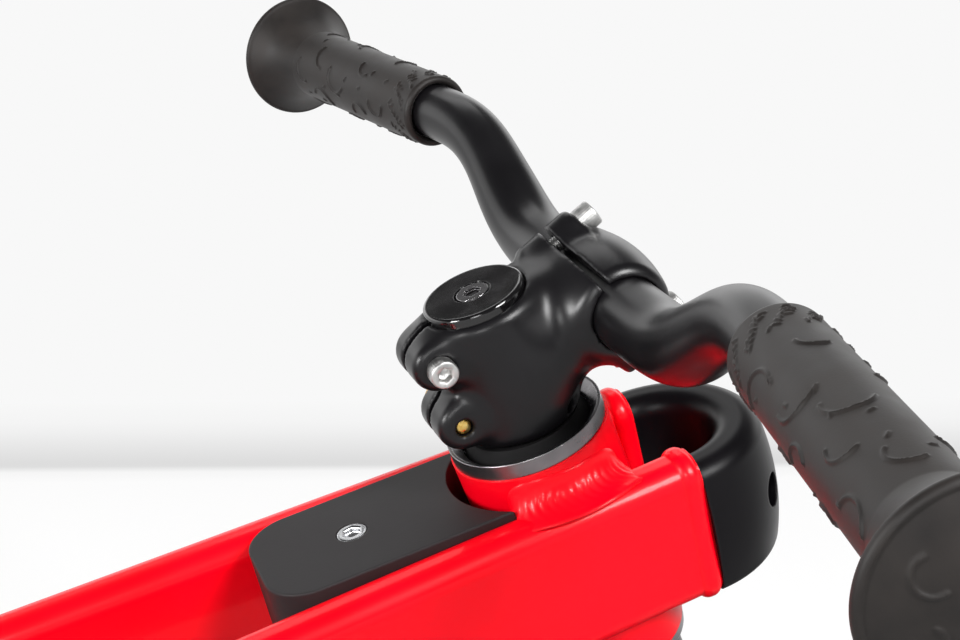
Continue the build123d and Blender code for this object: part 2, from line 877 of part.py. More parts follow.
def make_axle(inner_half, plate):
    end = inner_half + plate + washer_thickness + nut_height
    tip = end + axle_tip_length
    axle = rod(axle_radius, -end, end) + rod(axle_tip_radius, -tip, tip)
    cone = inner_half - hub_end_inset + hub_end_gap
    for side in (1, -1):
        low, high = sorted((side * cone, side * inner_half))
        axle += rod(axle_cone_radius, low, high)
    return axle


def paired(shape):
    # The same piece on both ends of an axle
    return shape + Rot(180, 0, 0) * shape


def make_washers(inner_half, plate):
    start = inner_half + plate
    return paired(sleeve(washer_radius, axle_radius, start, start + washer_thickness))


def make_nuts(inner_half, plate):
    start = inner_half + plate + washer_thickness
    nut = hexagon(nut_across_flats, start, start + nut_height) - rod(axle_radius, start, start + nut_height)
    return paired(nut)


def wheel_nodes(name, center, inner_half, plate):
    rim = make_rim()
    hub = make_hub(inner_half)
    pieces = {
        "tyre": make_tyre(),
        "rim": rim,
        "hub": hub,
        "spokes": make_spokes(inner_half, rim, hub),
        "valve": make_valve(rim),
        "axle": make_axle(inner_half, plate),
        "axle_washers": make_washers(inner_half, plate),
        "axle_nuts": make_nuts(inner_half, plate),
    }
    return {f"{name}_{piece}": Pos(*center) * across(shape) for piece, shape in pieces.items()}


# Rear dropouts, flat plates on the ends of the stays
dropout_top = rear_axle + Vector(stay[0], 0, stay[1]) * stay_end
dropout_middle = rail_middle(dropout_top.X)


def make_dropout(side):
    plane = Plane(
        origin=(rear_axle.X, side * dropout_middle, rear_axle.Z),
        x_dir=(stay[0], 0, stay[1]),
        z_dir=(0, 1, 0),
    )
    return plane.location * axle_plate(dropout_width, dropout_radius, stay_end, dropout_thickness)


# Seat tube frame: local Z runs up the tube and local X points forward
recline = radians(seat_angle)
seat_back = (rail_root.X - rear_axle.X - seat_ahead) / cos(slope)
seat = Plane(
    origin=rail_root - along * seat_back,
    x_dir=(sin(recline), 0, cos(recline)),
    z_dir=(-cos(recline), 0, sin(recline)),
)
collar_radius = seat_tube_radius + collar_wall
ear_end = collar_radius + collar_ear_length
stud_back = ear_end - collar_ear_length / 2
stud_height = seat_tube_above - collar_height / 2
ear_face = collar_slit / 2 + collar_ear_wall
cam_out = ear_face + lever_gap + lever_cam_radius
cheek = lever_width / 2
eye_half = cheek / 2


def make_seat_tube():
    tube = sleeve(seat_tube_radius, post_radius + post_play, -seat_tube_below, seat_tube_above)
    return seat.location * tube


def make_bridge(inset):
    half = rail_middle(seat.origin.X)
    plate = Pos(-seat_back, 0, -inset) * Box(bridge_length, 2 * half, bridge_thickness)
    plate = rail_plane.location * plate
    hole = seat.location * rod(seat_tube_radius, -2 * seat_tube_below, 2 * seat_tube_above)
    return plate - plain_rails[1] - plain_rails[-1] - hole


def make_collar():
    low = seat_tube_above - collar_height
    ring = rod(collar_radius, low, seat_tube_above)
    width = collar_slit + 2 * collar_ear_wall
    ears = Box(ear_end, width, collar_height, align=UP)
    ears = Pos(-ear_end / 2, 0, low) * ears
    ears = fillet(ears.edges().filter_by(Axis.Y).group_by(Axis.X)[0], collar_ear_round)
    collar = ring + ears - rod(seat_tube_radius, low, seat_tube_above)
    collar -= Pos(-ear_end, 0, low) * Box(2 * collar_ear_length + collar_wall, collar_slit, 2 * collar_height)
    collar -= Pos(-stud_back, 0, stud_height) * across(rod(stud_radius, -ear_end, ear_end))
    return seat.location * collar


def make_stud():
    # Clamp stud with a round head on the right and a flat eye for the lever's pin on the left
    shank = rod(stud_radius, -ear_face, cam_out)
    shank += rod(stud_head_radius, -ear_face - stud_head_height, -ear_face)
    shank = across(shank) + Pos(0, cam_out, 0) * rod(2 * lever_pin_radius, -eye_half, eye_half)
    shank -= Pos(0, cam_out, 0) * rod(lever_pin_radius + post_play, -cheek, cheek)
    return seat.location * (Pos(-stud_back, 0, stud_height) * shank)


def make_lever():
    # Cam lever that turns on its pin and lies forward along the collar when it is shut
    inner = collar_radius + 2 * part_gap - cam_out + stud_rise
    plan = make_face(
        Polyline(
            (-lever_cam_radius / 2, lever_cam_radius * lever_heel_share),
            (lever_cam_radius * 2, inner + lever_thickness),
            (lever_reach, inner + lever_thickness),
            (lever_reach, inner),
            (lever_cam_radius * 2, inner),
            (lever_cam_radius, 0),
            (-lever_cam_radius / 2, 0),
            close=True,
        )
    )
    lever = extrude(plan, cheek, both=True) + rod(lever_cam_radius, -cheek, cheek)
    lever -= rod(lever_cam_radius + 2 * lever_gap, -eye_half - lever_gap, eye_half + lever_gap)
    lever += rod(lever_pin_radius, -cheek, cheek)
    return seat.location * (Pos(-stud_back, cam_out, stud_height) * lever)


def make_post():
    return seat.location * rod(post_radius, -post_below, post_above - cradle_height * post_sink_share)


# Saddle, level with the ground, on the wires' axis at the top of the post
saddle_origin = seat.from_local_coords((0, 0, post_above))
shell_low = rail_wire_drop
shell_high = rail_wire_drop + shell_thickness


def at_saddle(shape):
    return Pos(*saddle_origin) * shape


def make_shell():
    sections = []
    for share, width, height in saddle_stations:
        half = width * saddle_width / 2 - shell_inset
        origin = (saddle_x(share), 0, shell_low + shell_thickness / 2)
        plane = Plane(origin=origin, x_dir=(0, 1, 0), z_dir=(1, 0, 0))
        sections.append(plane * Rectangle(2 * half, shell_thickness))
    return at_saddle(loft(sections))


def saddle_x(share):
    return saddle_length * (share - 0.5) - saddle_set_back


def make_cushion():
    # Padded top with a crown and drawn-in sides, one section at each station
    sections = []
    for share, width, height in saddle_stations:
        half = width * saddle_width / 2
        side = saddle_side * height
        crown = saddle_crown * height
        foot = half - shell_inset
        shoulder = half * saddle_shoulder_share
        edges = [
            Line((-foot, 0), (foot, 0)),
            ThreePointArc((foot, 0), (half, side / 2), (shoulder, side)),
            ThreePointArc((shoulder, side), (0, crown), (-shoulder, side)),
            ThreePointArc((-shoulder, side), (-half, side / 2), (-foot, 0)),
        ]
        plane = Plane(origin=(saddle_x(share), 0, shell_high), x_dir=(0, 1, 0), z_dir=(1, 0, 0))
        sections.append(plane * make_face(edges))
    return at_saddle(loft(sections))


def make_wires(shell):
    wires = []
    for side in (1, -1):
        points = [
            (-rail_wire_back - rail_wire_bend, side * rail_wire_spread, shell_low + overrun),
            (-rail_wire_back, side * rail_wire_spread, 0),
            (rail_wire_front - rail_wire_bend, side * rail_wire_spread, 0),
            (rail_wire_front, side * rail_wire_spread / 2, shell_low + overrun),
        ]
        path = FilletPolyline(*points, radius=rail_wire_bend)
        wire = sweep(Plane(origin=points[0], z_dir=path % 0) * Circle(rail_wire_radius), path=path)
        wires.append(at_saddle(wire) - shell)
    return Part() + wires


def clamp_block(low, high):
    width = 2 * (rail_wire_spread + cradle_margin)
    block = Pos(0, 0, low) * Box(cradle_length, width, high - low, align=UP)
    return fillet(block.edges().filter_by(Axis.Z), cradle_margin / 2)


def make_cradle(wires, post):
    block = clamp_block(-cradle_height, 0) - rod(seat_bolt_radius, -seat_bolt_grip, 0)
    return at_saddle(block) - wires - post


def make_clamp_plate(wires):
    plate = clamp_block(0, clamp_plate_height) - rod(seat_bolt_radius, 0, clamp_plate_height)
    return at_saddle(plate) - wires


def make_seat_bolt():
    bolt = hexagon(2 * seat_bolt_head, clamp_plate_height, clamp_plate_height + seat_bolt_head_height)
    return at_saddle(bolt + rod(seat_bolt_radius, -seat_bolt_grip, clamp_plate_height))


def build():
    nodes = {"head_tube": head_tube}
    for side, name in ((1, "left"), (-1, "right")):
        nodes[f"rail_{name}"] = finished_rail(side)
        nodes[f"dropout_{name}"] = make_dropout(side)
        nodes[f"fork_leg_{name}"] = make_leg(side)
        nodes[f"fork_tip_{name}"] = make_tip(side)
        nodes[f"grip_{name}"] = make_grip(side)
    nodes["front_bumper"] = make_bumper()
    nodes["cover_block"] = make_cover()
    nodes["cover_screw"] = make_cover_screw()
    nodes["upper_cup"] = make_upper_cup()
    nodes["lower_cup"] = make_lower_cup()
    nodes["upper_bearing"] = make_bearing(upper_bearing_low)
    nodes["lower_bearing"] = make_bearing(lower_bearing_high - bearing_height)
    nodes["dust_cover"] = make_dust_cover()
    nodes["crown_race"] = make_crown_race()
    nodes["steerer"] = make_steerer()
    nodes["fork_crown"] = make_crown()
    nodes["stem"] = make_stem()
    nodes["stem_faceplate"] = make_faceplate()
    nodes["pinch_bolts"] = make_pinch_bolts()
    nodes["face_bolts"] = make_face_bolts()
    nodes["top_cap"] = make_top_cap()
    nodes["cap_bolt"] = make_cap_bolt()
    nodes["star_nut"] = make_star_nut()
    nodes["handlebar"] = make_handlebar()
    nodes["seat_tube"] = make_seat_tube()
    nodes["seat_bridge_upper"] = make_bridge(bridge_inset)
    nodes["seat_bridge_lower"] = make_bridge(rail_depth - bridge_inset)
    nodes["seat_collar"] = make_collar()
    nodes["collar_stud"] = make_stud()
    nodes["collar_lever"] = make_lever()
    post = make_post()
    shell = make_shell()
    wires = make_wires(shell)
    nodes["seatpost"] = post
    nodes["saddle_shell"] = shell
    nodes["saddle_cushion"] = make_cushion()
    nodes["saddle_wires"] = wires
    nodes["saddle_cradle"] = make_cradle(wires, post)
    nodes["saddle_clamp_plate"] = make_clamp_plate(wires)
    nodes["saddle_bolt"] = make_seat_bolt()
    nodes.update(wheel_nodes("front", front_axle, leg_spread - tip_thickness / 2, tip_thickness))
    rear_half = dropout_middle - dropout_thickness / 2
    nodes.update(wheel_nodes("rear", rear_axle, rear_half, dropout_thickness))
    return nodes


os.makedirs("parts", exist_ok=True)
for node_name, shape in build().items():
    export_step(shape, f"parts/{node_name}.step")
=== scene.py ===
import bpy
import bmesh
import json
import numpy as np
from math import cos, hypot, pi, radians, sin, sqrt, tan
from mathutils import Matrix, Vector
from mathutils.bvhtree import BVHTree


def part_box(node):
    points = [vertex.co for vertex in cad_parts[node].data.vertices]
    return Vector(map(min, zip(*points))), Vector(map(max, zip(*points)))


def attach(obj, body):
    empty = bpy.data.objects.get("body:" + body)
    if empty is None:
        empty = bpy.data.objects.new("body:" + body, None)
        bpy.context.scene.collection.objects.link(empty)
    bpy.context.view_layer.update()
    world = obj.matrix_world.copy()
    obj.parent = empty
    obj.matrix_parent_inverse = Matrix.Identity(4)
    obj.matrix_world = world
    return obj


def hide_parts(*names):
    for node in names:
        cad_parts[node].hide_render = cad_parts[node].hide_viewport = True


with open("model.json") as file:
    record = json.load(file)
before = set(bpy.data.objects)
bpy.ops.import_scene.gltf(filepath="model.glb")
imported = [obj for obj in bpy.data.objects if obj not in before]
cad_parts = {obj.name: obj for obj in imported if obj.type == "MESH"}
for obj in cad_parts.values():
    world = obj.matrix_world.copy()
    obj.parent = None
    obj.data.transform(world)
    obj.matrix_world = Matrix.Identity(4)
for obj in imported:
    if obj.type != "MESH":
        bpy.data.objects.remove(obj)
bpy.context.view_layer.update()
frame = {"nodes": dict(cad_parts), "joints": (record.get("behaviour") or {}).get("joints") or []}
cadNodes = frame["nodes"]
joints = {joint["name"]: joint for joint in frame["joints"]}
mm = 0.001
weldGap = 0.001 * mm  # corners of a CAD mesh closer than this are one corner
print("frame loaded:", len(cadNodes), "nodes")


def axisFrame(origin, up, forward):
    # Local Z runs along up and local X leans as far as it can towards forward
    up = Vector(up).normalized()
    forward = Vector(forward)
    forward = (forward - up * forward.dot(up)).normalized()
    turn = Matrix((forward, up.cross(forward), up)).transposed().to_4x4()
    return Matrix.Translation(Vector(origin)) @ turn


# Steering frame: local Z up the steering axis from the top of the head tube, local X forward
steer = axisFrame(joints["steering_turn"]["pos_m"], joints["steering_turn"]["axis"], (1, 0, 0))


def unit(ways):
    return ways / np.linalg.norm(ways, axis=-1, keepdims=True)


def between(first, last, share):
    return first + (last - first) * share


def fullTurn(count):
    return np.arange(count) * 2 * pi / count


def placed(points, matrix):
    # Millimetres in a piece's own frame to metres in the bike's frame
    return np.asarray(points) * mm @ np.array(matrix.to_3x3()).T + np.array(matrix.translation)


def hexColour(code):
    # sRGB hex to the linear colour that the shaders want
    channels = [int(code[i:i + 2], 16) / 255 for i in (1, 3, 5)]
    linear = [c / 12.92 if c <= 0.04045 else ((c + 0.055) / 1.055) ** 2.4 for c in channels]
    return (*linear, 1.0)


def addNode(tree, kind, settings=None, links=None):
    node = tree.nodes.new(kind)
    for key, value in (settings or {}).items():
        if isinstance(key, int) or key in node.inputs:
            node.inputs[key].default_value = value
        else:
            setattr(node, key, value)
    for key, source in (links or {}).items():
        tree.links.new(source, node.inputs[key])
    return node


# One row for each finish. Sizes are in millimetres: cloud is the patch size of the colour and
# gloss change, grain the size of the surface texture, height its depth, edge the worn edge's width
finishes = {
    # Enamel sprayed over welded aluminium: wet gloss, faint orange peel, colour thinner on edges
    "GlossRedEnamel": {
        "tones": ("#F20014", "#FC001B"), "worn": "#FF2A28", "wear": 0.3, "roughness": (0.3, 0.38),
        "cloud": 55, "grain": 2.4, "height": 0.05, "strength": 0.05, "edge": 0.9,
        "surface": {"IOR": 1.5, "Specular IOR Level": 0.14, "Coat Weight": 0.16, "Coat Roughness": 0.08},
    },
    # Powder coat baked on forged and drawn alloy: deep black with soft broad highlights
    "SatinBlackPowderCoat": {
        "tones": ("#0B0A0C", "#111012"), "worn": "#4A474A", "wear": 0.25, "roughness": (0.27, 0.34),
        "cloud": 24, "grain": 0.7, "height": 0.03, "strength": 0.06, "edge": 0.8,
        "surface": {"IOR": 1.5, "Specular IOR Level": 0.33},
    },
    # Turned and black anodised headset: thin glassy skin, bright where the lathe broke the edge
    "BlackAnodisedAluminium": {
        "tones": ("#232123", "#302E30"), "worn": "#B4B2B4", "wear": 0.8, "roughness": (0.22, 0.32),
        "cloud": 12, "grain": 0.5, "height": 0.02, "strength": 0.05, "edge": 0.6,
        "surface": {"Metallic": 0.9},
    },
    # Turned headset cup, black anodised over lathe lines: darker metal that mirrors the paper in a band
    "TurnedBlackAluminium": {
        "tones": ("#747274", "#8A888A"), "worn": "#D8D6D8", "wear": 0.8, "roughness": (0.24, 0.34),
        "cloud": 10, "grain": 0.5, "height": 0.02, "strength": 0.06, "edge": 0.5,
        "surface": {"Metallic": 1.0},
    },
    # Moulded nitrile seal: flat black, swallows the light in the gap below the stem
    "MattSealRubber": {
        "tones": ("#080708", "#0D0C0D"), "worn": "#1C1B1C", "wear": 0.3, "roughness": (0.6, 0.75),
        "cloud": 8, "grain": 0.6, "height": 0.04, "strength": 0.15, "edge": 0.4,
        "surface": {"IOR": 1.5, "Specular IOR Level": 0.2},
    },
    # Polished ABS cap: piano gloss that mirrors the studio, with a trace of handling haze
    "GlossBlackAbs": {
        "tones": ("#080708", "#0C0B0C"), "worn": "#2A2829", "wear": 0.2, "roughness": (0.06, 0.13),
        "cloud": 9, "grain": 1.6, "height": 0.02, "strength": 0.03, "edge": 0.5,
        "surface": {"IOR": 1.53, "Coat Weight": 0.4, "Coat Roughness": 0.03},
    },
    # Moulded nylon bumper: near black, smooth, soft highlights and a light scuff on the edges
    "SmoothBlackNylon": {
        "tones": ("#080709", "#0C0A0D"), "worn": "#363235", "wear": 0.4, "roughness": (0.3, 0.4),
        "cloud": 30, "grain": 0.9, "height": 0.03, "strength": 0.05, "edge": 1.0,
        "surface": {"IOR": 1.53, "Specular IOR Level": 0.13},
    },
    # Polypropylene with a spark-eroded mould grain, drawn at 0.8 mm so that it shows: dull dark grey
    "GrainedPolypropylene": {
        "tones": ("#191617", "#201D1E"), "worn": "#3E3A3B", "wear": 0.4, "roughness": (0.52, 0.62),
        "cloud": 26, "grain": 0.8, "height": 0.08, "strength": 0.3, "edge": 0.8,
        "surface": {"IOR": 1.49, "Specular IOR Level": 0.35},
    },
    # Soft thermoplastic rubber: warm dusty black with no clear highlight, paler where hands rub it
    "MattGripRubber": {
        "tones": ("#161312", "#231F1D"), "worn": "#4C4643", "wear": 0.6, "roughness": (0.46, 0.58),
        "cloud": 12, "grain": 0.6, "height": 0.06, "strength": 0.25, "edge": 0.6,
        "surface": {"IOR": 1.5, "Specular IOR Level": 0.3, "Sheen Weight": 0.04, "Sheen Roughness": 0.4},
    },
    # Vulcanised tyre rubber: flat black with floor dust in the tread
    "TyreRubber": {
        "tones": ("#151414", "#211F1E"), "worn": "#3A3735", "wear": 0.5, "roughness": (0.6, 0.8),
        "cloud": 18, "grain": 0.8, "height": 0.08, "strength": 0.25, "edge": 0.8,
        "surface": {"IOR": 1.52},
    },
    # Bright zinc plate on steel screws: cool silver, brushed by the spanner, milky in the recesses
    "BrightZincPlate": {
        "tones": ("#B6B6B5", "#D8D7D5"), "worn": "#F4F3F0", "wear": 0.6, "roughness": (0.34, 0.5),
        "cloud": 3, "grain": 0.5, "height": 0.03, "strength": 0.12, "edge": 0.3,
        "surface": {"Metallic": 1.0},
    },
    # Yellow passivated zinc: straw gold with a faint rainbow drift
    "YellowZincPlate": {
        "tones": ("#D6A43C", "#F4DA8E"), "worn": "#FBEFC6", "wear": 0.5, "roughness": (0.22, 0.36),
        "cloud": 2, "grain": 0.4, "height": 0.02, "strength": 0.1, "edge": 0.3,
        "surface": {"Metallic": 1.0},
    },
    # Drawn stainless spoke wire and turned bearing steel: even grey mirror with fine draw lines
    "DrawnStainlessSteel": {
        "tones": ("#A3A4A6", "#BFC0C2"), "worn": "#E6E6E6", "wear": 0.4, "roughness": (0.2, 0.32),
        "cloud": 6, "grain": 0.5, "height": 0.02, "strength": 0.08, "edge": 0.3,
        "surface": {"Metallic": 1.0},
    },
    # Extruded and black anodised rim alloy: dark metal, silver where its edge is rubbed
    "BlackAnodisedRim": {
        "tones": ("#1B1B1C", "#262627"), "worn": "#9A9A9C", "wear": 0.35, "roughness": (0.3, 0.42),
        "cloud": 20, "grain": 0.6, "height": 0.03, "strength": 0.08, "edge": 0.6,
        "surface": {"Metallic": 0.8},
    },
    # Tumbled cast alloy: pale grey satin
    "TumbledAluminium": {
        "tones": ("#8F9193", "#A9ABAD"), "worn": "#DADBDC", "wear": 0.6, "roughness": (0.34, 0.46),
        "cloud": 8, "grain": 0.7, "height": 0.04, "strength": 0.15, "edge": 0.6,
        "surface": {"Metallic": 1.0},
    },
    # Nickelled brass nipples: warm silver
    "NickelledBrass": {
        "tones": ("#B5A98C", "#D0C7AE"), "worn": "#EFE6CF", "wear": 0.5, "roughness": (0.25, 0.38),
        "cloud": 3, "grain": 0.4, "height": 0.02, "strength": 0.1, "edge": 0.3,
        "surface": {"Metallic": 1.0},
    },
    # Steel dipped in black lacquer: thin even gloss with small runs
    "BlackDippedSteel": {
        "tones": ("#131213", "#1C1B1C"), "worn": "#6A6869", "wear": 0.4, "roughness": (0.28, 0.4),
        "cloud": 10, "grain": 0.8, "height": 0.03, "strength": 0.08, "edge": 0.5,
        "surface": {"IOR": 1.5},
    },
    # Embossed vinyl over foam: leather-like pebble drawn at 1.4 mm, satin, rubbed paler on the crown
    "PebbledVinyl": {
        "tones": ("#171516", "#211F20"), "worn": "#3C393A", "wear": 0.3, "roughness": (0.42, 0.55),
        "cloud": 35, "grain": 1.4, "height": 0.2, "strength": 0.35, "edge": 0.8, "pebble": True,
        "surface": {"IOR": 1.5},
    },
    # Twisted polyester thread: mid grey fibres
    "PolyesterThread": {
        "tones": ("#3A3738", "#4B4849"), "worn": "#6B6868", "wear": 0.2, "roughness": (0.6, 0.75),
        "cloud": 4, "grain": 0.4, "height": 0.05, "strength": 0.3, "edge": 0.2,
        "surface": {"IOR": 1.5, "Sheen Weight": 0.3},
    },
}

# Shared by all finishes: where on the noise the tone changes, and how far a rounded normal leaves
# the true one before the edge starts to wear and is fully worn
finishing = {
    "cloudSpan": (0.3, 0.7), "cloudDetail": 4.0, "grainDetail": 2.0,
    "edgeSamples": 4, "rubSpan": (0.985, 0.8),
}


def makeFinish(name, spec):
    material = bpy.data.materials.new(name)
    material.use_nodes = True
    tree = material.node_tree
    tree.nodes.clear()
    place = addNode(tree, "ShaderNodeTexCoord").outputs["Object"]
    cloud = addNode(tree, "ShaderNodeTexNoise",
                    {"Scale": 1 / (spec["cloud"] * mm), "Detail": finishing["cloudDetail"]},
                    {"Vector": place}).outputs["Fac"]
    tone = addNode(tree, "ShaderNodeValToRGB", links={"Fac": cloud})
    for stop, position, code in zip(tone.color_ramp.elements, finishing["cloudSpan"], spec["tones"]):
        stop.position, stop.color = position, hexColour(code)
    (start, end), (low, high) = finishing["cloudSpan"], spec["roughness"]
    rough = addNode(tree, "ShaderNodeMapRange",
                    {"From Min": start, "From Max": end, "To Min": low, "To Max": high}, {"Value": cloud})
    # The rounded normal leaves the true one only along edges, which is where the finish wears
    edge = addNode(tree, "ShaderNodeBevel",
                   {"Radius": spec["edge"] * mm, "samples": finishing["edgeSamples"]}).outputs["Normal"]
    true = addNode(tree, "ShaderNodeNewGeometry").outputs["Normal"]
    along = addNode(tree, "ShaderNodeVectorMath", {"operation": "DOT_PRODUCT"}, {0: edge, 1: true})
    start, end = finishing["rubSpan"]
    rubbed = addNode(tree, "ShaderNodeMapRange",
                     {"From Min": start, "From Max": end, "To Min": 0.0, "To Max": spec["wear"]},
                     {"Value": along.outputs["Value"]})
    colour = addNode(tree, "ShaderNodeMix", {"data_type": "RGBA", 7: hexColour(spec["worn"])},
                     {0: rubbed.outputs["Result"], 6: tone.outputs["Color"]})
    if spec.get("pebble"):
        relief = addNode(tree, "ShaderNodeTexVoronoi", {"Scale": 1 / (spec["grain"] * mm)},
                         {"Vector": place}).outputs["Distance"]
    else:
        relief = addNode(tree, "ShaderNodeTexNoise",
                         {"Scale": 1 / (spec["grain"] * mm), "Detail": finishing["grainDetail"]},
                         {"Vector": place}).outputs["Fac"]
    bump = addNode(tree, "ShaderNodeBump", {"Strength": spec["strength"], "Distance": spec["height"] * mm},
                   {"Height": relief, "Normal": edge})
    shader = addNode(tree, "ShaderNodeBsdfPrincipled", spec["surface"],
                     {"Base Color": colour.outputs[2], "Roughness": rough.outputs["Result"],
                      "Normal": bump.outputs["Normal"]})
    addNode(tree, "ShaderNodeOutputMaterial", links={"Surface": shader.outputs["BSDF"]})
    return material


finish = {name: makeFinish(name, spec) for name, spec in finishes.items()}

# Which finish each CAD node wears
wearing = {
    "GlossRedEnamel": ["head_tube", "rail_left", "rail_right", "seat_tube", "seat_bridge_upper",
                       "seat_bridge_lower", "dropout_left", "dropout_right"],
    "SatinBlackPowderCoat": ["stem", "stem_faceplate", "handlebar", "fork_crown", "fork_leg_left",
                             "fork_leg_right", "seatpost", "seat_collar"],
    "BlackAnodisedAluminium": ["cap_bolt", "front_hub", "rear_hub"],
    "TurnedBlackAluminium": ["upper_cup", "lower_cup"],
    "MattSealRubber": ["dust_cover"],
    "GlossBlackAbs": ["top_cap"],
    "SmoothBlackNylon": ["front_bumper"],
    "GrainedPolypropylene": ["cover_block", "saddle_shell"],
    "MattGripRubber": ["grip_left", "grip_right"],
    "TyreRubber": ["front_tyre", "rear_tyre", "front_valve", "rear_valve"],
    "BrightZincPlate": ["cover_screw", "pinch_bolts", "face_bolts", "collar_stud", "saddle_bolt",
                        "front_axle", "front_axle_washers", "front_axle_nuts", "rear_axle",
                        "rear_axle_washers", "rear_axle_nuts", "fork_tip_left", "fork_tip_right"],
    "DrawnStainlessSteel": ["front_spokes", "rear_spokes", "upper_bearing", "lower_bearing", "crown_race",
                            "star_nut", "steerer"],
    "BlackAnodisedRim": ["front_rim", "rear_rim"],
    "TumbledAluminium": ["collar_lever"],
    "BlackDippedSteel": ["saddle_wires", "saddle_cradle", "saddle_clamp_plate"],
    "PebbledVinyl": ["saddle_cushion"],
}
for name, nodes in wearing.items():
    for node in nodes:
        slots = cadNodes[node].data.materials
        for index in range(len(slots)):
            slots[index] = finish[name]
print("finishes done:", len(finish))


def smooth(mesh):
    mesh.polygons.foreach_set("use_smooth", [True] * len(mesh.polygons))


def showPiece(name, mesh, coat):
    smooth(mesh)
    mesh.materials.clear()
    mesh.materials.append(finish[coat])
    piece = bpy.data.objects.new(name, mesh)
    bpy.context.scene.collection.objects.link(piece)
    return piece


def carry(piece, body, node=None):
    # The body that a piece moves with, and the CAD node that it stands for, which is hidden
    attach(piece, body)
    if node:
        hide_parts(node)


def gridMesh(name, points, closed=True, capped=False):
    # Rows of points joined into quads; a closed grid joins the last column to the first, and a
    # capped one has a face on its first and last row
    points = np.asarray(points, dtype=float)
    rows, columns = points.shape[:2]
    index = np.arange(rows * columns).reshape(rows, columns)
    right = np.roll(index, -1, axis=1)
    if not closed:
        index, right = index[:, :-1], right[:, :-1]
    faces = np.stack((index[:-1], right[:-1], right[1:], index[1:]), axis=-1).reshape(-1, 4).tolist()
    if capped:
        faces += [index[0, ::-1].tolist(), index[-1].tolist()]
    mesh = bpy.data.meshes.new(name)
    mesh.from_pydata(points.reshape(-1, 3).tolist(), [], faces)
    mesh.update()
    return mesh


def joinGrids(name, grids):
    # Several capped grids as one mesh, all facing outwards
    work = bmesh.new()
    for grid in grids:
        sheet = gridMesh(name, grid, capped=True)
        work.from_mesh(sheet)
        bpy.data.meshes.remove(sheet)
    bmesh.ops.recalc_face_normals(work, faces=work.faces)
    mesh = bpy.data.meshes.new(name)
    work.to_mesh(mesh)
    work.free()
    return mesh


def settle(piece):
    # Applies every modifier and leaves a plain smooth mesh
    shape = bpy.data.meshes.new_from_object(piece.evaluated_get(bpy.context.evaluated_depsgraph_get()))
    piece.modifiers.clear()
    piece.data = shape
    smooth(shape)


def pointsOf(mesh):
    return np.array([list(vertex.co) for vertex in mesh.vertices])


def surfaceOf(mesh):
    return BVHTree.FromPolygons([vertex.co.copy() for vertex in mesh.vertices],
                                [list(polygon.vertices) for polygon in mesh.polygons])


def weldedCopy(node):
    # A CAD node's mesh with its split corners joined
    work = bmesh.new()
    work.from_mesh(cadNodes[node].data)
    bmesh.ops.remove_doubles(work, verts=work.verts, dist=weldGap)
    return work


# Drop-forged stem and faceplate, sculpted as distances: rounded bodies run together with wide
# forging radii, then the slot, bores and holes are cut clean. Millimetres in the steering frame
forging = {
    "step": 0.6, "polish": (0.5, 2),
    "stemBox": ((-29, -24, 3), (44, 24, 53)), "faceBox": ((26, -24, 8), (58, 24, 60)),
    "post": (17.6, 5.4, 47.3), "postRound": 3.0, "capSeat": 15.8, "steererBore": 14.35,
    "earRadius": 7.6, "earRound": 3.2, "earBack": 19.3, "earHeights": (38.3, 17.3),
    "earRight": 11.5, "earLeft": 9.5, "slot": 1.2, "slotFrom": 5.0, "boltHole": 2.75, "headRoom": 4.5,
    "bar": (35.7, 31.8), "barBore": 11.15,
    "barrel": 17.0, "barrelDrop": 3.2, "barrelHalf": 22.0, "barrelRound": 3.0,
    "lugRadius": 6.2, "lugDepth": 10.5, "lugRound": 2.0,
    "faceSide": 12.5, "faceOffset": 14.2, "faceSeat": 9.6, "splitGap": 1.2, "tilt": radians(17.0),
    "neckFrom": (1.0, 25.0), "neckWide": (17.0, 18.5), "neckHigh": (17.5, 14.5), "neckRound": 4.0,
    "earBlend": 6.5, "neckBlend": 13.0, "clampBlend": 9.0, "lugBlend": 6.0,
}
barCentre = steer @ (Vector((forging["bar"][0], 0, forging["bar"][1])) * mm)


def meld(a, b, reach):
    # Smooth union: the two bodies flow together within the reach
    near = np.clip(reach - np.abs(a - b), 0, None) / reach
    return np.minimum(a, b) - near * near * reach / 4


def cutAway(body, cuts):
    for cut in cuts:
        body = np.maximum(body, cut)
    return body


def roundedEnd(across, along, radius):
    # Distance to a body cut off square, with its rim rounded
    a, b = across + radius, along + radius
    return np.minimum(np.maximum(a, b), 0) + np.hypot(np.maximum(a, 0), np.maximum(b, 0)) - radius


def faceBolts(y, up):
    # Distances from the axes of the two faceplate screws, which sit on a diagonal
    return [np.hypot(y - sign * forging["faceSide"], up - sign * forging["faceOffset"]) for sign in (1, -1)]


def clampBody(x, y, z):
    # The whole clamp, with the distance before its split plane, the height along it and the reach
    spec = forging
    dx, dz = x - spec["bar"][0], z - spec["bar"][1]
    out = dx * cos(spec["tilt"]) + dz * sin(spec["tilt"])
    up = dz * cos(spec["tilt"]) - dx * sin(spec["tilt"])
    reach = np.hypot(out, up)
    body = roundedEnd(reach - spec["barrel"] + spec["barrelDrop"] * (y / spec["barrelHalf"]) ** 2,
                      np.abs(y) - spec["barrelHalf"], spec["barrelRound"])
    for bolt in faceBolts(y, up):
        ends = np.maximum(out - spec["faceSeat"], -spec["lugDepth"] - out)
        body = meld(body, roundedEnd(bolt - spec["lugRadius"], ends, spec["lugRound"]), spec["lugBlend"])
    return body, out, up, reach


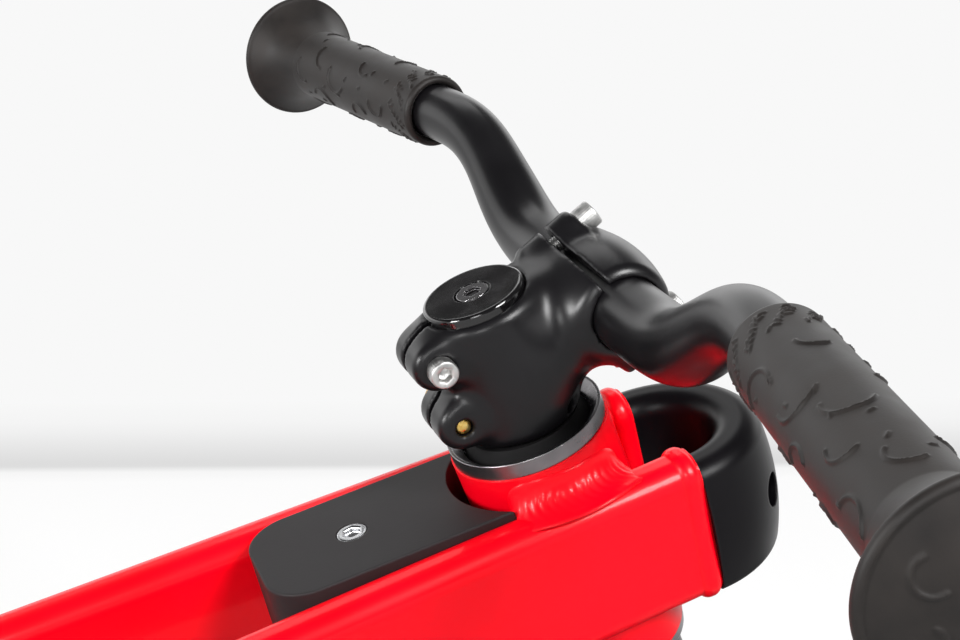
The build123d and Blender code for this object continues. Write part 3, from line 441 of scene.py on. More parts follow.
def stemField(x, y, z):
    spec = forging
    radius, low, high = spec["post"]
    wall = np.hypot(x, y)
    body = roundedEnd(wall - radius, np.maximum(low - z, z - high), spec["postRound"])
    for height in spec["earHeights"]:
        boss = np.hypot(x + spec["earBack"], z - height) - spec["earRadius"]
        side = np.maximum(y - spec["earLeft"], -spec["earRight"] - y)
        body = meld(body, roundedEnd(boss, side, spec["earRound"]), spec["earBlend"])
    share = np.clip((x - spec["neckFrom"][0]) / (spec["bar"][0] - spec["neckFrom"][0]), 0, 1)
    wide, tall = between(*spec["neckWide"], share), between(*spec["neckHigh"], share)
    middle = between(spec["neckFrom"][1], spec["bar"][1], share)
    past = np.maximum(spec["neckFrom"][0] - x, x - spec["bar"][0])
    neck = (np.hypot(y / wide, (z - middle) / tall) - 1) * np.minimum(wide, tall)
    body = meld(body, roundedEnd(neck, past, spec["neckRound"]), spec["neckBlend"])
    clamp, out, up, reach = clampBody(x, y, z)
    body = meld(body, clamp, spec["clampBlend"])
    cuts = [out + spec["splitGap"], spec["barBore"] - reach, spec["steererBore"] - wall, low - z,
            np.minimum(spec["capSeat"] - wall, z - high),
            np.minimum(spec["slot"] - np.abs(y), -x - spec["slotFrom"])]
    for height, seat in zip(spec["earHeights"], (-spec["earRight"], spec["earLeft"])):
        bolt = np.hypot(x + spec["earBack"], z - height)
        cuts += [spec["boltHole"] - bolt, np.minimum(spec["headRoom"] - bolt, np.sign(seat) * (y - seat))]
    return cutAway(body, cuts + [spec["boltHole"] - bolt for bolt in faceBolts(y, up)])


def faceplateField(x, y, z):
    spec = forging
    body, out, up, reach = clampBody(x, y, z)
    cuts = [spec["splitGap"] - out, spec["barBore"] - reach]
    for bolt in faceBolts(y, up):
        cuts += [spec["boltHole"] - bolt, np.minimum(spec["headRoom"] - bolt, out - spec["faceSeat"])]
    return cutAway(body, cuts)


def netSurface(name, field, low, high, step):
    # Surface net: one point in each cell that the surface crosses, joined across grid edges
    axes = [np.arange(a, b + step, step) for a, b in zip(low, high)]
    values = field(*np.meshgrid(*axes, indexing="ij"))
    cells = tuple(n - 1 for n in values.shape)
    total, hits = np.zeros(cells + (3,)), np.zeros(cells)
    for axis in range(3):
        others = [i for i in range(3) if i != axis]
        for corner in ((0, 0), (0, 1), (1, 0), (1, 1)):
            start = np.zeros(3, dtype=int)
            start[others] = corner
            spot = np.zeros(cells + (3,)) + start
            a = values[tuple(slice(s, s + n) for s, n in zip(start, cells))]
            start[axis] = 1
            b = values[tuple(slice(s, s + n) for s, n in zip(start, cells))]
            cross = (a < 0) != (b < 0)
            spot[..., axis] += np.where(cross, a / np.where(cross, a - b, 1.0), 0)
            total += spot * cross[..., None]
            hits += cross
    active = hits > 0
    index = np.full(cells, -1)
    index[active] = np.arange(active.sum())
    points = (np.argwhere(active) + total[active] / hits[active][:, None]) * step + np.array(low)
    faces = []
    for axis in range(3):
        u, v = [i for i in range(3) if i != axis]
        a = np.moveaxis(values, (axis, u, v), (0, 1, 2))
        around = np.moveaxis(index, (axis, u, v), (0, 1, 2))
        near, far = a[:-1, 1:-1, 1:-1], a[1:, 1:-1, 1:-1]
        quad = np.stack((around[:, :-1, :-1], around[:, 1:, :-1], around[:, 1:, 1:], around[:, :-1, 1:]),
                        axis=-1)
        for rising in (True, False):
            crossed = ((near < 0) & (far >= 0)) if rising else ((near >= 0) & (far < 0))
            picked = quad[crossed]
            faces.append(picked if rising == (axis != 1) else picked[:, ::-1])
    mesh = bpy.data.meshes.new(name)
    mesh.from_pydata(placed(points, steer).tolist(), [], np.concatenate(faces).tolist())
    mesh.update()
    return mesh


def makeForgings():
    for node, name, field, box in (("stem", "ForgedStem", stemField, forging["stemBox"]),
                                   ("stem_faceplate", "ForgedFaceplate", faceplateField, forging["faceBox"])):
        piece = showPiece(name, netSurface(name, field, *box, forging["step"]), "SatinBlackPowderCoat")
        soften = piece.modifiers.new("Polish", "SMOOTH")
        soften.factor, soften.iterations = forging["polish"]
        settle(piece)
        carry(piece, "steering", node)


makeForgings()
print("forgings done")

# Socket screws: knurled heads, six-sided sockets and rolled threads
screws = {
    "segments": 144, "teeth": 36, "pitch": 0.8, "threadDepth": 0.32, "threadRows": 6, "tip": 0.02,
    "lean": (0.3, 0.5, 0.8),
    # how far in from the head's side and down from its top each row of the crown lies
    "crown": ((0.75, 0), (0.4, 0.08), (0.12, 0.35)),
}
stemScrew = {
    "head": 4.25, "knurl": 0.1, "shank": 2.5, "socket": 2.0, "socketDepth": 2.6,
    "pinchHeight": 5.0, "pinchShort": 1.0, "faceHeight": 6.0, "faceGrab": 12.0,
}
coverScrew = {
    "head": 4.85, "knurl": 0.0, "shank": 2.5, "socket": 2.35, "socketDepth": 1.6, "height": 2.6,
    "length": 17.4, "back": 62.0, "raise": 2.5, "stand": 12.8, "slope": radians(13.46),
}


def screwGrid(spec, height, length):
    angles = fullTurn(screws["segments"])
    flat = np.abs(((angles + pi / 6) % (pi / 3)) - pi / 6)
    hexagon = spec["socket"] / np.cos(flat)
    knurl = spec["knurl"] * np.abs(((angles * screws["teeth"] / (2 * pi)) % 1.0) * 2 - 1)
    head, shank, tip, one = spec["head"], spec["shank"], screws["tip"], np.ones_like(angles)
    floor = height - spec["socketDepth"]
    # Lathe rows of radius and height: socket, chamfered crown, knurled side, underside
    rows = [(tip * one, floor - 0.4), (hexagon - 0.05, floor), (hexagon, floor + 0.2),
            (hexagon, height - 0.35), (hexagon + 0.3, height - 0.02)]
    rows += [((head - inset) * one, height - drop) for inset, drop in screws["crown"]]
    rows += [(head - knurl, height - 0.7), (head - knurl, 0.5), ((head - 0.1) * one, 0.25),
             ((head - 0.3) * one, 0.0), (shank * one, 0.0)]
    step = screws["pitch"] / screws["threadRows"]
    for index in range(int(length / step) - 4):
        wave = 0.5 - 0.5 * cos(2 * pi * index / screws["threadRows"])
        rows.append(((shank - screws["threadDepth"] * wave) * one, -index * step))
    rows += [((shank - 0.5) * one, -length + 0.2), (tip * one, -length + 0.1)]
    return np.array([np.stack((r * np.cos(angles), r * np.sin(angles), z * one), axis=-1) for r, z in rows])


def makeScrewSet(name, node, grid, places, body, coat):
    mesh = joinGrids(name, [placed(grid, axisFrame(origin, way, screws["lean"])) for origin, way in places])
    piece = showPiece(name, mesh, coat)
    carry(piece, body, node)
    return piece


def makeScrews():
    spec = forging
    upper, lower = spec["earHeights"]
    right = steer @ (Vector((-spec["earBack"], -spec["earRight"], upper)) * mm)
    left = steer @ (Vector((-spec["earBack"], spec["earLeft"], lower)) * mm)
    length = spec["earRight"] + spec["earLeft"] - stemScrew["pinchShort"]
    places = [(right, Vector((0, -1, 0))), (left, Vector((0, 1, 0)))]
    pinch = makeScrewSet("PinchScrews", "pinch_bolts", screwGrid(stemScrew, stemScrew["pinchHeight"], length),
                         places, "steering", "BrightZincPlate")
    # The lower screw, whose end shows in its ear, is passivated yellow
    pinch.data.materials.append(finish["YellowZincPlate"])
    for polygon in pinch.data.polygons:
        if (steer.inverted() @ polygon.center).z < (upper + lower) / 2 * mm:
            polygon.material_index = 1
    out = steer.to_3x3() @ Vector((cos(spec["tilt"]), 0, sin(spec["tilt"])))
    high = steer.to_3x3() @ Vector((-sin(spec["tilt"]), 0, cos(spec["tilt"])))
    places = [(barCentre + (out * spec["faceSeat"] + high * sign * spec["faceOffset"]
                            + Vector((0, sign * spec["faceSide"], 0))) * mm, out) for sign in (1, -1)]
    length = spec["faceSeat"] + stemScrew["faceGrab"]
    makeScrewSet("FaceScrews", "face_bolts", screwGrid(stemScrew, stemScrew["faceHeight"], length),
                 places, "steering", "BrightZincPlate")
    spec = coverScrew
    along = Vector((cos(spec["slope"]), 0, sin(spec["slope"])))
    normal = Vector((-along.z, 0, along.x))
    root = steer @ Vector((0, 0, -spec["stand"] * mm))
    seat = root + (normal * (spec["raise"] - spec["height"]) - along * spec["back"]) * mm
    makeScrewSet("CoverScrew", "cover_screw", screwGrid(spec, spec["height"], spec["length"]),
                 [(seat, normal)], "frame", "DrawnStainlessSteel")


makeScrews()
print("screws done")

# Grips: rubber sleeves with raised crescents and dashes, a trumpet flare and a domed safety flange
grips = {
    "start": 27.7, "bendOut": (-3.4, 95.0, 27.0), "backSweep": radians(11.25),
    "bore": 9.5, "clear": 0.05, "boreStart": 3.0, "chamfer": 0.6, "innerRadius": 12.6, "outerRadius": 13.0,
    "lip": ((1.5, 0.02), (0.9, 0.15), (0.3, 0.7)), "wallStart": 1.5, "flareStart": 91.0, "length": 110.0,
    "flareSag": 3.0, "flange": 22.4, "rim": 3.0, "dome": 5.0, "cap": 4.0,
    "columns": 220, "rowStep": 0.4, "flareRows": 34, "rimRows": 9, "domeRows": 51,
    "rise": 0.6, "fade": (3.0, 8.0),
    # crescents round the sleeve: rows and columns, first row and row spacing, then the radius and
    # the sweep in degrees, each with its step of change
    "arcRows": 5, "arcColumns": 4, "arcFrom": 22.5, "arcGap": 14.5, "arcWidth": 1.25,
    "arc": (4.4, 0.7), "arcSweep": (120, 14),
    # dashes: most in a band near the open end, given as its start and width, and a few over the field
    "dashes": 120, "banded": 0.8, "band": (3.5, 9.5), "field": (20, 64),
    "dashHalf": 0.8, "dashWidth": 1.2, "dashRise": 0.8,
    # the flange's ring, and the curls round it
    "ring": (4.6, 1.5), "curls": 6, "curlReach": 12.5, "curl": (3.0, 0.8), "curlTurn": 1.6,
    "curlSweep": 3.4, "curlWidth": 1.4,
}


def arcThrough(first, middle, last, count):
    # Points on the circle through three (radius, height) points
    (ax, ay), (bx, by), (cx, cy) = first, middle, last
    d = 2 * (ax * (by - cy) + bx * (cy - ay) + cx * (ay - by))
    a2, b2, c2 = ax * ax + ay * ay, bx * bx + by * by, cx * cx + cy * cy
    ox = (a2 * (by - cy) + b2 * (cy - ay) + c2 * (ay - by)) / d
    oy = (a2 * (cx - bx) + b2 * (ax - cx) + c2 * (bx - ax)) / d
    angles = np.unwrap([np.arctan2(y - oy, x - ox) for x, y in (first, middle, last)])
    if (angles[1] - angles[0]) * (angles[2] - angles[1]) < 0:
        angles[2] += 2 * pi * np.sign(angles[1] - angles[0])
    radius = hypot(ax - ox, ay - oy)
    return [(ox + radius * cos(t), oy + radius * sin(t)) for t in np.linspace(angles[0], angles[2], count)]


def gripProfile():
    # Rows of radius and distance along, with the first row of the patterned wall and the row after it
    spec = grips
    inner, outer, first = spec["innerRadius"], spec["outerRadius"], spec["wallStart"]
    flare, length, flange, rim = spec["flareStart"], spec["length"], spec["flange"], spec["rim"]
    bore = spec["bore"] + spec["clear"]
    lead = [(spec["clear"], length - spec["cap"]), (bore, length - spec["cap"]), (bore, spec["boreStart"]),
            (spec["bore"] + spec["chamfer"], spec["chamfer"])]
    lead += [(inner - inset, along) for inset, along in spec["lip"]]
    count = int((flare - first) / spec["rowStep"])
    shares = [index / count for index in range(count)]
    wall = [(between(inner, outer, share), between(first, flare, share)) for share in shares]
    sweep = arcThrough((outer, flare), (outer + spec["flareSag"], (flare + length) / 2), (flange, length),
                       spec["flareRows"])
    edge = arcThrough((flange, length), (flange + rim / 3, length + rim / 2), (flange, length + rim),
                      spec["rimRows"])[1:]
    ball = (flange ** 2 + spec["dome"] ** 2) / (2 * spec["dome"])
    centre = length + rim + spec["dome"] - ball
    # The last row stops just short of the middle, where a small cap closes the dome
    steps = [flange * (1 - index / (spec["domeRows"] + 0.2)) for index in range(1, spec["domeRows"] + 1)]
    dome = [(r, centre + sqrt(ball * ball - r * r)) for r in steps]
    return np.array(lead + wall + sweep + edge + dome), len(lead), len(lead + wall + sweep)


def ridge(gap, half):
    # Rounded height share at a distance from the middle of a ridge
    share = np.clip(1 - gap / half, 0, 1)
    return share * share * (3 - 2 * share)


def arcRidge(u, v, centre, radius, start, sweep, width):
    # Height share of a crescent drawn on the unrolled rubber; past its ends the nearer tip counts
    du, dv = u - centre[0], v - centre[1]
    turn = (np.arctan2(dv, du) - start) % (2 * pi)
    tips = [np.hypot(du - radius * cos(end), dv - radius * sin(end)) for end in (start, start + sweep)]
    gap = np.where(turn > sweep, np.minimum(*tips), np.abs(np.hypot(du, dv) - radius))
    return ridge(gap, width / 2)


def gripRelief(u, v, around):
    # u runs round the grip, v along it; the pattern repeats after a full turn, and the steps of
    # seed and index only scatter it
    spec = grips
    height = np.zeros_like(u)
    for row in range(spec["arcRows"]):
        for column in range(spec["arcColumns"]):
            seed = row * 7 + column * 3
            across = (column + 0.5 * (row % 2) + 0.1 * (seed % 3)) * around / spec["arcColumns"]
            along = spec["arcFrom"] + row * spec["arcGap"] + seed % 4
            radius = spec["arc"][0] + spec["arc"][1] * (seed % 4)
            start = radians(50 * seed % 360)
            sweep = radians(spec["arcSweep"][0] + spec["arcSweep"][1] * (seed % 5))
            for shift in (-around, 0, around):
                crescent = arcRidge(u, v, (across + shift, along), radius, start, sweep, spec["arcWidth"])
                height = np.maximum(height, crescent)
    for index in range(spec["dashes"]):
        first, wide = spec["band"] if index < spec["banded"] * spec["dashes"] else spec["field"]
        across, along = (index * 37 % 80) / 80 * around, first + wide * ((index * 61 % 97) / 97)
        turn = (index * 29 % 31) / 31 * pi
        for shift in (-around, 0, around):
            du, dv = u - across - shift, v - along
            slide = np.clip(du * cos(turn) + dv * sin(turn), -spec["dashHalf"], spec["dashHalf"])
            gap = np.hypot(du - slide * cos(turn), dv - slide * sin(turn))
            height = np.maximum(height, spec["dashRise"] * ridge(gap, spec["dashWidth"] / 2))
    return height * spec["rise"]


def flangeRelief(r, angles):
    # Crescents round a ring, moulded on the end of the flange
    spec = grips
    x, y = r * np.cos(angles), r * np.sin(angles)
    height = arcRidge(x, y, (0, 0), spec["ring"][0], 0, 2 * pi - 0.01, spec["ring"][1])
    for index in range(spec["curls"]):
        turn = 2 * pi * index / spec["curls"]
        centre = (spec["curlReach"] * cos(turn), spec["curlReach"] * sin(turn))
        radius = spec["curl"][0] + spec["curl"][1] * (index % 2)
        start = turn - spec["curlTurn"] + index
        curl = arcRidge(x, y, centre, radius, start, spec["curlSweep"], spec["curlWidth"])
        height = np.maximum(height, curl)
    return spec["rise"] * height


def makeGrip(side, node, name):
    spec = grips
    profile, first, last = gripProfile()
    turn = np.repeat(fullTurn(spec["columns"])[None, :], len(profile), axis=0)
    r, z = [np.repeat(profile[:, i:i + 1], spec["columns"], axis=1) for i in (0, 1)]
    wall, dome = slice(first, last), slice(last + spec["rimRows"], None)
    faded = np.clip((spec["length"] - spec["fade"][0] - z[wall]) / spec["fade"][1], 0, 1)
    around = 2 * pi * spec["outerRadius"]
    r[wall] += gripRelief(turn[wall] * spec["outerRadius"], z[wall], around) * faded
    z[dome] += flangeRelief(r[dome], turn[dome]) - spec["rise"]
    grid = np.stack((r * np.cos(turn), r * np.sin(turn), z), axis=-1)
    way = Vector((-sin(spec["backSweep"]), side * cos(spec["backSweep"]), 0))
    bend = Vector((spec["bendOut"][0], side * spec["bendOut"][1], spec["bendOut"][2]))
    place = axisFrame(barCentre + (bend + way * spec["start"]) * mm, way, (0, 0, 1))
    piece = showPiece(name, gridMesh(name, placed(grid, place), capped=True), "MattGripRubber")
    carry(piece, "steering", node)


makeGrip(1, "grip_left", "LeftGrip")
makeGrip(-1, "grip_right", "RightGrip")
print("grips done")

# Handlebar: drawn tube with two bends a side, swept finely so that its reflections run smooth
handlebar = {
    "corner": (0.0, 56.5, 0.0), "bend": 46.0, "end": 133.7,
    "clampHalf": 22.0, "clamp": 11.1, "free": 11.0, "grip": 9.5,
    "columns": 96, "step": 1.0, "easing": 90, "capShare": 0.02,
}


def barHalf():
    # Points and radii along the left half, with an arc where the straight runs meet
    spec = handlebar
    corners = [np.zeros(3), np.array(spec["corner"]), np.array(grips["bendOut"])]
    last = np.array((-sin(grips["backSweep"]), cos(grips["backSweep"]), 0.0))
    corners.append(corners[2] + last * spec["end"])
    runs = ((spec["free"], spec["free"]), (spec["free"], spec["grip"]), (spec["grip"], spec["grip"]))
    path, radii = [corners[0]], [spec["clamp"]]
    for index, (wide, narrow) in enumerate(runs):
        end = corners[index + 1]
        way = unit(end - corners[index])
        bent = index + 1 < len(runs)
        if bent:
            turn = unit(corners[index + 2] - end)
            angle = np.arccos(way @ turn)
            end = end - way * spec["bend"] * tan(angle / 2)
        start = path[-1]
        for share in np.linspace(0, 1, int(np.linalg.norm(end - start) / spec["step"]))[1:]:
            path.append(between(start, end, share))
            radii.append(spec["clamp"] if path[-1][1] < spec["clampHalf"] else between(wide, narrow, share))
        if bent:
            side = unit(turn - way * (turn @ way))
            for share in np.linspace(0, 1, int(spec["bend"] * angle / spec["step"]))[1:]:
                swing = angle * share
                path.append(end + spec["bend"] * (way * sin(swing) + side * (1 - cos(swing))))
                radii.append(narrow)
    return np.array(path), np.array(radii)


def tubeGrid(path, radii, columns):
    # Rings square to the path, carried along it without twisting
    turn = fullTurn(columns)[:, None]
    out = np.array((0.0, 0.0, 1.0))
    rows = []
    for spot, way, radius in zip(path, unit(np.gradient(path, axis=0)), radii):
        out = unit(out - way * (out @ way))
        rows.append(spot + radius * (np.cos(turn) * out + np.sin(turn) * np.cross(way, out)))
    return np.array(rows)


def makeHandlebar():
    path, radii = barHalf()
    path = np.concatenate((path[:0:-1] * np.array((1, -1, 1)), path))
    radii = np.concatenate((radii[:0:-1], radii))
    # Bending draws the tube, so straight and bend, and wide and narrow, run into each other
    for _ in range(handlebar["easing"]):
        path[1:-1] = (path[:-2] + 2 * path[1:-1] + path[2:]) / 4
        radii[1:-1] = (radii[:-2] + 2 * radii[1:-1] + radii[2:]) / 4
    grid = tubeGrid(path, radii, handlebar["columns"])
    caps = [path[end] + (grid[end] - path[end]) * handlebar["capShare"] for end in (0, -1)]
    grid = np.concatenate((caps[0][None], grid, caps[1][None]))
    mesh = gridMesh("Handlebar", placed(grid, Matrix.Translation(barCentre)), capped=True)
    piece = showPiece("Handlebar", mesh, "SatinBlackPowderCoat")
    carry(piece, "steering", "handlebar")


makeHandlebar()
print("handlebar done")

# Welds: rippled fillet beads where tubes meet
welds = {
    "pitch": 2.4, "ripple": 0.3, "crown": 0.05, "bow": 0.5, "columns": 19, "step": 0.3,
    "sink": 0.5, "overrun": 0.14, "thinEnd": 0.05, "thickness": 0.4, "stand": 0.35, "reach": 90.0,
    "head": {"radius": 25.0, "size": 10.0, "sweep": radians(116), "above": 1.0},
    "seatUpper": {"radius": 17.0, "size": 3.2, "sweep": radians(360), "above": 20.0},
    "seatLower": {"radius": 17.0, "size": 3.2, "sweep": radians(360), "above": 58.0},
    "seatTube": (-137.0, 0, 334.883),
}


def runLength(points):
    # Millimetres run so far at each point of a line
    return np.concatenate(([0], np.cumsum(np.linalg.norm(np.diff(points, axis=0), axis=1)))) / mm


def weldBead(name, path, outs, up, size):
    # path runs along the root of the joint; outs leave the tube and up leaves the plate
    spec = welds
    points, outs, up = np.array(path), np.array(outs), np.array(up)
    length = runLength(points)
    ends = np.clip(np.minimum(length, length[-1] - length) / size, spec["thinEnd"], 1) ** 0.5
    rows = []
    for share in np.linspace(-spec["overrun"], 1 + spec["overrun"], spec["columns"]):
        # Hollow fillet from the tube wall down to the plate, with ripples bowed along the run
        swing = np.clip(share, 0, 1) * pi / 2
        middle = sin(2 * swing)
        phase = ((length + spec["bow"] * size * middle) / spec["pitch"]) % 1.0
        lift = (spec["ripple"] * (1 - (2 * phase - 1) ** 2) + spec["crown"]) * middle
        sunk = spec["sink"] * max(0.0, -share, share - 1) / spec["overrun"]
        outward = size * ends * (1 - cos(swing)) + lift * cos(swing) - (sunk if share < 0.5 else 0)
        upward = size * ends * (1 - sin(swing)) + lift * sin(swing) - (sunk if share > 0.5 else 0)
        rows.append(points + (outs * outward[:, None] + up * upward[:, None]) * mm)
    piece = showPiece(name, gridMesh(name, rows, closed=False), "GlossRedEnamel")
    thick = piece.modifiers.new("Body", "SOLIDIFY")
    thick.thickness, thick.offset = spec["thickness"] * mm, -1
    settle(piece)
    carry(piece, "frame")


def ringWeld(name, tube, spec, plate, middle):
    # Drops rays beside a round tube on to the plate round it and beads along the hits
    target = surfaceOf(cadNodes[plate].data)
    up = tube.to_3x3() @ Vector((0, 0, 1))
    count = int(spec["radius"] * spec["sweep"] / welds["step"])
    path, outs = [], []
    for index in range(count + 1):
        angle = middle + spec["sweep"] * (index / count - 0.5)
        out = tube.to_3x3() @ Vector((cos(angle), sin(angle), 0))
        start = tube.translation + out * ((spec["radius"] + welds["stand"]) * mm) + up * (spec["above"] * mm)
        hit = target.ray_cast(start, -up, welds["reach"] * mm)
        if hit[0] is not None:
            path.append(hit[0] - out * (welds["stand"] * mm))
            outs.append(out)
    weldBead(name, path, outs, up, spec["size"])


def makeWelds():
    for side, name in ((1, "left"), (-1, "right")):
        ringWeld("HeadWeld_" + name, steer, welds["head"], "rail_" + name, side * pi / 2)
    # The seat tube is beaded to its upper bridge from above and to its lower bridge from below
    axis, foot = Vector(joints["seat_height"]["axis"]), Vector(welds["seatTube"]) * mm
    for way, name in ((axis, "upper"), (-axis, "lower")):
        tube = axisFrame(foot, way, (1, 0, 0))
        ringWeld("PostTubeWeld_" + name, tube, welds["seat" + name.capitalize()], "seat_bridge_" + name, 0)


makeWelds()
print("welds done")

# Tyres: the CAD profile with ribs, knobs and side rings cut into it
tyres = {
    "columns": 720, "sideRows": 30, "treadRows": 61, "middle": 128.0, "lip": (0.4, 5.0),
    "bead": (107.0, 14.5), "belly": (129.75, 24.0), "shoulder": (143.5, 14.88), "crown": (152.5, 0.0),
    "treadEdge": 1.5, "groove": 7.0, "grooveHalf": 1.4, "grooveDepth": 2.2, "flank": 1.6,
    "knobs": 90, "slant": 9.0, "sipe": 0.28, "sipeDepth": 1.8, "rib": (2.0, 1.5),
    "rings": (117.0, 121.0, 134.0), "ringHeight": 0.5, "ringHalf": 0.8, "ringFlank": 1.5,
}


def tyreGrid():
    spec = tyres
    (beadR, beadY), (edgeR, edgeY) = spec["bead"], spec["shoulder"]
    side = arcThrough(spec["bead"], spec["belly"], spec["shoulder"], spec["sideRows"])
    tread = arcThrough(spec["shoulder"], spec["crown"], (edgeR, -edgeY), spec["treadRows"])[1:-1]
    half = [(beadR - spec["lip"][0], beadY - spec["lip"][1])] + side
    profile = np.array(half + tread + [(r, -y) for r, y in reversed(half)] + half[:1])
    turn = fullTurn(spec["columns"])
    r, y = profile[:, :1], profile[:, 1:]
    off, inside = np.abs(y), np.abs(y) < spec["groove"]
    onTread = r > edgeR - spec["treadEdge"]
    channel = np.clip(spec["flank"] - np.abs(off - spec["groove"]) / spec["grooveHalf"], 0, 1)
    # Sipes slant across the middle rib and stand half a knob further on outside the grooves
    beat = (turn * spec["knobs"] / (2 * pi) + np.where(inside, off / spec["slant"], 0.5)) % 1.0
    sipe = np.clip(spec["flank"] - np.abs(beat - 0.5) / (spec["sipe"] / 2), 0, 1)
    reach = np.where(inside, np.clip((off - spec["rib"][0]) / spec["rib"][1], 0, 1), 1.0)
    depth = np.maximum(spec["grooveDepth"] * channel * onTread, spec["sipeDepth"] * sipe * reach * onTread)
    for ring in spec["rings"]:
        bump = np.clip(spec["ringFlank"] - np.abs(r - ring) / spec["ringHalf"], 0, 1)
        depth += spec["ringHeight"] * bump * (~onTread)
    inward = unit(np.array((spec["middle"], 0.0)) - profile)
    r, y = r + inward[:, :1] * depth, y + inward[:, 1:] * depth
    return np.stack((r * np.sin(turn), y, r * np.cos(turn)), axis=-1)


def makeTyres():
    grid = tyreGrid()
    for end in ("front", "rear"):
        name = end.capitalize() + "Tyre"
        hub = Matrix.Translation(Vector(joints[end + "_wheel_spin"]["pos_m"]))
        piece = showPiece(name, gridMesh(name, placed(grid, hub)), "TyreRubber")
        carry(piece, end + "_wheel", end + "_tyre")


makeTyres()
print("tyres done")

# Spoke nipples: tapered square-shouldered nuts on the outer end of every spoke
nipples = {
    "profile": ((0.5, 0.0), (1.75, 0.0), (1.95, 0.3), (1.95, 5.4), (2.5, 5.7), (2.5, 9.0), (0.5, 9.0)),
    "length": 9.0, "columns": 24, "square": 0.25, "squareSpan": (1.0, 2.2), "lean": (0, 1, 0.2),
}


def spokeEnds(node):
    # Each spoke is an island of the node's mesh; its far end points out from the hub
    work = weldedCopy(node)
    left = set(work.verts)
    ends = []
    hub = Vector(joints[node.split("_")[0] + "_wheel_spin"]["pos_m"])
    while left:
        island, queue = [], [left.pop()]
        while queue:
            vertex = queue.pop()
            island.append(vertex.co.copy())
            for edge in vertex.link_edges:
                other = edge.other_vert(vertex)
                if other in left:
                    left.remove(other)
                    queue.append(other)
        island.sort(key=lambda co: (co.x - hub.x) ** 2 + (co.z - hub.z) ** 2)
        count = max(4, len(island) // 4)
        inner = sum(island[:count], Vector()) / count
        outer = sum(island[-count:], Vector()) / count
        way = (outer - inner).normalized()
        ends.append((outer + way * way.dot(island[-1] - outer), way))
    work.free()
    return sorted(ends, key=lambda end: (round(end[0].x, 5), round(end[0].y, 5), round(end[0].z, 5)))


def makeNipples():
    spec = nipples
    turn = fullTurn(spec["columns"])
    square = spec["square"] * np.cos(4 * turn)
    rows = []
    for radius, height in spec["profile"]:
        wide = radius + square * (spec["squareSpan"][0] < radius < spec["squareSpan"][1])
        level = np.full(len(turn), height - spec["length"])
        rows.append(np.stack((wide * np.cos(turn), wide * np.sin(turn), level), axis=-1))
    for end in ("front", "rear"):
        name = end.capitalize() + "Nipples"
        grids = [placed(rows, axisFrame(tip, way, spec["lean"])) for tip, way in spokeEnds(end + "_spokes")]
        piece = showPiece(name, joinGrids(name, grids), "NickelledBrass")
        carry(piece, end + "_wheel")


makeNipples()
print("nipples done")

# Saddle shell: moulded plate with a rounded rim, its outline eased from the CAD stations
saddleShell = {
    "origin": (-154.923, 0, 390.044), "length": 222.0, "width": 128.0, "setBack": 26.0, "inset": 3.0,
    "low": 20.0, "high": 24.0, "round": 1.4, "roundShare": 0.3, "easing": 4,
    "stations": ((0.0, 0.52), (0.07, 0.84), (0.22, 1.0), (0.45, 0.74), (0.7, 0.39), (0.93, 0.33),
                 (1.0, 0.24)),
}


def makeShell():
    spec = saddleShell
    side = [(spec["length"] * (share - 0.5) - spec["setBack"], wide * spec["width"] / 2 - spec["inset"])
            for share, wide in spec["stations"]]
    loop = np.array(side + [(x, -y) for x, y in reversed(side)])
    for _ in range(spec["easing"]):
        ahead = np.roll(loop, -1, axis=0)
        loop = np.stack((0.75 * loop + 0.25 * ahead, 0.25 * loop + 0.75 * ahead), axis=1).reshape(-1, 2)
    way = unit(np.roll(loop, -1, axis=0) - np.roll(loop, 1, axis=0))
    inward = np.stack((way[:, 1], -way[:, 0]), axis=1)
    low, high, rim = spec["low"], spec["high"], spec["round"]
    ease = spec["roundShare"] * rim
    # Rings from the middle of the underside, round the rim, to the middle of the top: inset, height
    # and how far the ring is drawn in to the spine
    rings = ((rim, low, 0), (rim, low, 0.5), (rim, low, 1), (ease, low + ease, 1), (0, low + rim, 1),
             (0, high - rim, 1), (ease, high - ease, 1), (rim, high, 1), (rim, high, 0.5), (rim, high, 0))
    rows = []
    for inset, height, narrow in rings:
        ring = (loop + inward * inset) * np.array((1, narrow))
        rows.append(np.column_stack((ring, np.full(len(ring), height))))
    mesh = gridMesh("SaddleShell", placed(rows, Matrix.Translation(Vector(spec["origin"]) * mm)))
    carry(showPiece("SaddleShell", mesh, "GrainedPolypropylene"), "seat", "saddle_shell")


makeShell()
print("saddle shell done")

# Saddle cushion: vinyl blown up over foam by a cloth run, with piping and a stitched seam
saddle = {
    "voxel": 4.0, "shrink": 1.0, "pressure": 4.0, "frames": 20, "cap": 5.0, "lift": 0.1,
    "spine": 0.42, "fan": 0.5, "reach": 200.0, "loop": 260, "seamHeight": 0.34,
    "pipe": 1.5, "pipeColumns": 10, "pipeEasing": 3,
    "stitch": 3.2, "stitchGap": 1.5, "stitchRadius": 0.45, "stitchThin": 0.05, "stitchLift": 4.0,
    "stitchArch": 0.5, "stitchSink": 0.2, "stitchRows": 7, "stitchColumns": 6,
}


